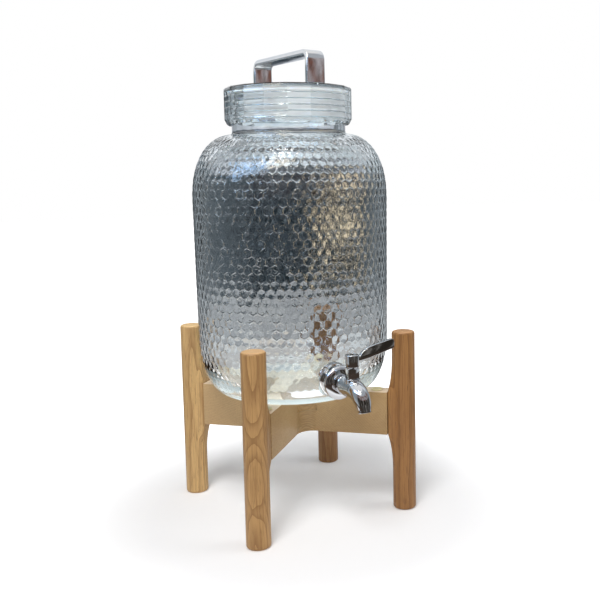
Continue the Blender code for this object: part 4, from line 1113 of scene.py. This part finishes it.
def make_leg(name, bearing, material):
    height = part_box(name + "_leg")[1].z
    angles = np.arange(LEG_SIDES) * TAU / LEG_SIDES
    flare = np.array([flare_reach(a) for a in angles]) - LEG_RADIUS
    rings = []
    for z in leg_levels(height):
        edge = LEG_ROUND - min(z, height - z, LEG_ROUND)
        shrink = LEG_ROUND - math.sqrt(max(0.0, LEG_ROUND ** 2 - edge ** 2))
        rings.append(ring(LEG_RADIUS - shrink + flare * flare_weight(z), z, angles))
    leg = shell(name + "_post", rings, (0, 0, 0), (0, 0, height), location=leg_spot(bearing),
                rotation=(0, 0, stand_angle(bearing) + math.pi))
    combine(leg, "DIFFERENCE", *dowel_holes(name, bearing))
    smooth(leg, 40)
    settle(leg, "stand", "leg_wood", material, name + "_leg")


def make_rail(name, bearing, keeps_top, material):
    """One bar of the cross, with half of its height cut away where the other bar passes."""
    height = RAIL_HIGH - RAIL_LOW
    middle = (RAIL_LOW + RAIL_HIGH) / 2
    half_length = JAR_RADIUS + LEG_TO_JAR - FLARE_DEPTH - GAP
    half = RAIL_THICKNESS / 2
    far = half + RAIL_FILLET
    right = [(half_length, half)] + arc(far, far, RAIL_FILLET, 270, 180, 14) + [(half, far + GAP)]
    outline = right + [(-x, y) for x, y in reversed(right)]
    outline += [(x, -y) for x, y in reversed(outline)]
    turn = (0, 0, stand_angle(bearing))
    rail = extruded(name + "_bar", outline, -height / 2, height / 2, location=(0, AXIS_Y, middle),
                    rotation=turn)
    soften(rail, RAIL_EDGE, angle=50)
    lap_half = far + 2 * GAP
    lap_height = height / 2 + GAP / 2 + LAP_OVERRUN
    lap_z = middle + (-1 if keeps_top else 1) * (lap_height / 2 - GAP / 2)
    square = [(lap_half, lap_half), (-lap_half, lap_half), (-lap_half, -lap_half), (lap_half, -lap_half)]
    combine(rail, "DIFFERENCE", extruded("lap", square, -lap_height / 2, lap_height / 2,
                                         location=(0, AXIS_Y, lap_z), rotation=turn))
    for leg, leg_bearing in LEG_BEARINGS.items():
        if (leg_bearing - bearing) % 180 == 0:
            combine(rail, "DIFFERENCE", *dowel_holes(leg, leg_bearing))
    smooth(rail, 40)
    settle(rail, "stand", "rail_wood", material, name)


def make_bumper(name, material):
    low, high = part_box(name + "_bumper")
    middle = (low + high) / 2
    radius = (high.x - low.x) / 2
    outline = [(0, high.z), (radius * 0.6, high.z - 0.05 * MM)]
    outline += arc(radius - BUMPER_EDGE, high.z - 0.15 * MM - BUMPER_EDGE, BUMPER_EDGE, 80, 0, 4)
    outline += [(radius, low.z + 0.1 * MM), (radius - 0.1 * MM, low.z), (0, low.z)]
    pad = lathe(name + "_pad", outline, steps=48, location=(middle.x, middle.y, 0))
    settle(pad, "stand", "bumper_silicone", material, name + "_bumper")


# Stage: floor, surround, world, lamps and camera

def make_floor():
    """White floor: it takes the shadows near the object and turns to pure white further out.

    Through glass it looks brighter. In mirrors its far part is dark, as the ground of the room is.
    """
    bpy.ops.mesh.primitive_plane_add(size=FLOOR_SIZE, location=(0, 0, 0))
    floor = bpy.context.object
    floor.name = "floor"
    made = Nodes(bpy.data.materials.new("floor_white"))
    length = made.add("ShaderNodeVectorMath", operation="LENGTH")
    made.put(made.place(), length.inputs[0])
    away = Value(made, length.outputs["Value"])
    mirrored = away.fade(0.24, 0.32) * made.ray("Glossy")
    lift = away.fade(0.13, 0.38, FLOOR_LIFT, FLOOR_FAR_LIFT) * (made.seen() * (1.0 - mirrored))
    lift = lift + made.ray("Transmission") * FLOOR_GLOW
    made.feed(made.shader, Base_Color=made.mix(mirrored, (0.90, 0.90, 0.91), (0.07, 0.05, 0.04)),
              Roughness=0.9, Specular_IOR_Level=0.0)
    light = made.feed(made.add("ShaderNodeEmission"), Strength=lift)
    made.join("ShaderNodeAddShader", Value(made, made.shader.outputs[0]), Value(made, light.outputs[0]))
    floor.data.materials.append(made.owner)


def room_behind(made, bearing, z, shaken, fine, coarse, flecks, local):
    """The room behind the object: table, grey band, slate with a beige part, lilac, pale facets and haze."""
    warm = coarse.fade(0.5, 0.6) * 0.5
    table = made.mix(warm, (0.74, 0.76, 0.78), (0.74, 0.60, 0.44))
    band = made.mix(flecks.fade(0.40, 0.62), (0.46, 0.47, 0.48), (0.30, 0.31, 0.33))
    slate = made.mix(fine.fade(0.35, 0.65), (0.006, 0.013, 0.019), (0.040, 0.055, 0.070))
    slate = made.mix(flecks.fade(0.54, 0.68), slate, (0.16, 0.19, 0.22))
    slate = made.mix(bearing.fade(math.radians(39), math.radians(42)) * 0.15, slate, (0.14, 0.17, 0.20))
    haze = made.mix(coarse.fade(0.40, 0.62), (0.80, 0.87, 0.94), (1.02, 1.03, 1.04))
    pale = made.stacked(bearing, ((0, 0, (0.20, 0.25, 0.28)), *(
        (math.radians(start), math.radians(0.3), tone)
        for start, tone in ((16, (0.42, 0.50, 0.54)), (20, (0.78, 0.92, 1.05)), (25, (0.85, 0.92, 0.97)),
                            (33, (0.50, 0.58, 0.62))))))
    behind = made.stacked(shaken, ((0.0, 0.0, table), (0.038, 0.006, band), (0.137, 0.008, slate),
                                   (0.375, 0.010, (0.66, 0.69, 0.76))))
    inside = bearing.between(math.radians(29.0), math.radians(40.5), math.radians(0.8))
    inside = inside * shaken.between(0.153, 0.336, 0.01)
    rows = z.between(0.312, 0.340, 0.006) + z.between(0.243, 0.262, 0.006)
    spots = made.noise(local, 60.0, detail=2.0, along=0.7) + rows * -0.10
    beige = made.mix(spots.fade(0.42, 0.47), (0.93, 0.76, 0.53), (0.018, 0.018, 0.018))
    behind = made.mix(inside, behind, beige)
    off_view = abs(bearing + math.radians(CAMERA_AZIMUTH))
    beside = off_view.fade(math.radians(31), math.radians(40), 0.0, 0.60)
    behind = made.mix(beside, behind, (0.52, 0.58, 0.62))
    behind = made.mix(z.fade(0.400, 0.404), behind, pale)
    return made.mix(z.fade(0.470, 0.490), behind, haze)


def room_before(made, shaken, fine, coarse, local):
    """The room on the camera's side, which the metal mirrors: dark with strips, and warm blotches above."""
    strips = made.noise(local, 30.0, detail=2.0, along=0.15)
    dark = made.mix(strips.fade(0.52, 0.66), (0.030, 0.025, 0.020), (0.30, 0.28, 0.26))
    blotches = made.mix(coarse.fade(0.42, 0.60), (0.20, 0.085, 0.060), (0.55, 0.52, 0.54))
    blotches = made.mix(fine.fade(0.50, 0.62), blotches, (0.05, 0.035, 0.03))
    return made.stacked(shaken, ((0.0, 0.0, (0.060, 0.045, 0.035)), (0.060, 0.010, dark),
                                 (0.330, 0.020, blotches), (0.560, 0.030, (0.45, 0.48, 0.52))))


def make_surround():
    """A painted round screen, seen only in glass and metal: the room that they mirror and show.

    Its colours go by the height and by the bearing, which is 0 behind the object and grows to the right.
    """
    surround = lathe("surround", [(SURROUND_RADIUS, SURROUND_FOOT), (SURROUND_RADIUS, SURROUND_TOP)],
                     steps=128, **ON_JAR)
    made = Nodes(bpy.data.materials.new("surround_paint"))
    local = made.mapped(made.place(), location=(0, -AXIS_Y, 0))
    x, y, z = made.split(local)
    bearing = made.math("ARCTAN2", x, y)
    fine = made.noise(local, 38.0, roughness=0.6)
    coarse = made.noise(local, 9.0)
    flecks = made.noise(local, 110.0, detail=2.0, along=0.4)
    shaken = (coarse - 0.5) * 0.05 + ((fine - 0.5) * 0.05 + z)

    behind = room_behind(made, bearing, z, shaken, fine, coarse, flecks, local)
    before = room_before(made, shaken, fine, coarse, local)
    slant = (fine - 0.5) * 0.14 + (bearing * CARD_RISE + shaken)
    card = bearing.between(math.radians(-161), math.radians(-86), math.radians(3))
    card = card * slant.between(CARD_LOW, CARD_HIGH, 0.02)
    tint = made.mix(bearing.fade(math.radians(-122), math.radians(-130)), (0.36, 0.56, 0.85),
                    (1.05, 0.98, 0.84))
    before = made.mix(card, before, tint)
    color = made.mix(abs(bearing).fade(math.radians(100), math.radians(118)), behind, before)
    color = made.mix(card, color, tint)
    made.join("ShaderNodeEmission", color, card * CARD_STRENGTH + 1.0)
    surround.data.materials.append(made.owner)
    surround.visible_camera = False
    surround.visible_diffuse = False
    surround.visible_shadow = False
    surround.visible_volume_scatter = False


def make_world():
    world = bpy.data.worlds.new("studio")
    bpy.context.scene.world = world
    made = Nodes(world)
    level = made.seen().fade(0.0, 1.0, SKY_LEVEL, 1.0)
    made.feed(made.tree.nodes["Background"], Color=(1.0, 1.0, 1.0), Strength=level)


def make_lamp(name, spot, target, size, power):
    data = bpy.data.lights.new(name, "AREA")
    data.shape = "DISK"
    data.size = size
    data.energy = power
    lamp = bpy.data.objects.new(name, data)
    bpy.context.scene.collection.objects.link(lamp)
    lamp.location = spot
    lamp.rotation_mode = "QUATERNION"
    lamp.rotation_quaternion = (Vector(target) - Vector(spot)).to_track_quat("-Z", "Y")


def make_camera():
    azimuth = math.radians(CAMERA_AZIMUTH)
    pitch = math.radians(CAMERA_PITCH)
    roll = math.radians(CAMERA_ROLL)
    data = bpy.data.cameras.new("camera")
    data.lens = CAMERA_LENS
    data.sensor_width = CAMERA_SENSOR
    data.shift_x, data.shift_y = CAMERA_SHIFT
    camera = bpy.data.objects.new("camera", data)
    bpy.context.scene.collection.objects.link(camera)
    camera.location = (math.sin(azimuth) * CAMERA_DISTANCE, AXIS_Y - math.cos(azimuth) * CAMERA_DISTANCE,
                       CAMERA_HEIGHT)
    heading = azimuth + math.radians(CAMERA_YAW)
    forward = Vector((-math.sin(heading) * math.cos(pitch), math.cos(heading) * math.cos(pitch),
                      -math.sin(pitch)))
    right = forward.cross(Vector((0, 0, 1))).normalized()
    up = right.cross(forward)
    right_rolled = right * math.cos(roll) + up * math.sin(roll)
    up_rolled = up * math.cos(roll) - right * math.sin(roll)
    camera.rotation_mode = "QUATERNION"
    camera.rotation_quaternion = Matrix((right_rolled, up_rolled, -forward)).transposed().to_quaternion()
    bpy.context.scene.camera = camera


# The looks, the pieces and the stage

jar_glass = glass("jar_glass_look", (0.94, 0.955, 0.96), (0.90, 0.93, 0.94), (0.56, 0.57, 0.58),
                  0.012 * MM, has_drops=True)
lid_glass = glass("lid_glass_look", (0.935, 0.972, 0.99), (0.895, 0.95, 0.975), (0.70, 0.72, 0.73), 0.006 * MM)
tap_steel = steel("tap_steel_look", (0.70, 0.71, 0.73), (0.58, 0.59, 0.61), 0.04, 0.12, 0.03 * MM)
handle_steel = steel("handle_steel_look", (0.78, 0.78, 0.79), (0.66, 0.66, 0.67), 0.08, 0.20, 0.08 * MM)
nut_steel = steel("nut_steel_look", (0.62, 0.62, 0.63), (0.50, 0.50, 0.51), 0.15, 0.30, 0.05 * MM)
clear_silicone = silicone("clear_silicone_look", (0.80, 0.84, 0.84), (0.68, 0.72, 0.73), 0.35)
pad_silicone = silicone("pad_silicone_look", (0.86, 0.78, 0.46), (0.78, 0.66, 0.34), 0.40)

make_jar(jar_glass)
make_lid(lid_glass)
make_seal(clear_silicone)
make_handle(handle_steel)
make_tap(tap_steel)
make_bonnet(tap_steel)
make_washers(clear_silicone)
make_lock_nut(nut_steel)
make_lever(tap_steel)
make_lever_screw(tap_steel)

for index, (name, bearing) in enumerate(LEG_BEARINGS.items()):
    leg_wood = wood(name + "_wood_look", leg_spot(bearing), LEG_FACING, LEG_TONES_AND_SHADE[name], LEG_PITH, LEG_RING,
                    seed=0.37 * index, eyes=LEG_EYES.get(name, ()))
    make_leg(name, bearing, leg_wood)
    repaint(name + "_dowel_1", leg_wood)
    repaint(name + "_dowel_2", leg_wood)
for name, bearing, keeps_top in zip(RAILS, (45, 135), (True, False)):
    turn = (0, math.radians(90), -stand_angle(bearing))
    rail_wood = wood(name + "_wood_look", (0, AXIS_Y, RAIL_LOW), turn, RAIL_TONES, RAIL_PITH, RAIL_RING,
                     seed=0.01 * bearing, crown=RAIL_TOP_HIGHLIGHT)
    make_rail(name, bearing, keeps_top, rail_wood)
for name in LEG_BEARINGS:
    make_bumper(name, pad_silicone)
for name in ("handle_screw_front", "handle_screw_back", "valve_plug"):
    repaint(name, nut_steel)
repaint("stem_packing", clear_silicone)

make_floor()
make_surround()
make_world()
make_lamp("key", KEY_PLACE, STAGE_MIDDLE, KEY_SIZE, KEY_POWER)
make_lamp("fill", FILL_PLACE, STAGE_MIDDLE, FILL_SIZE, FILL_POWER)
make_camera()
bpy.context.scene.view_settings.view_transform = "Standard"
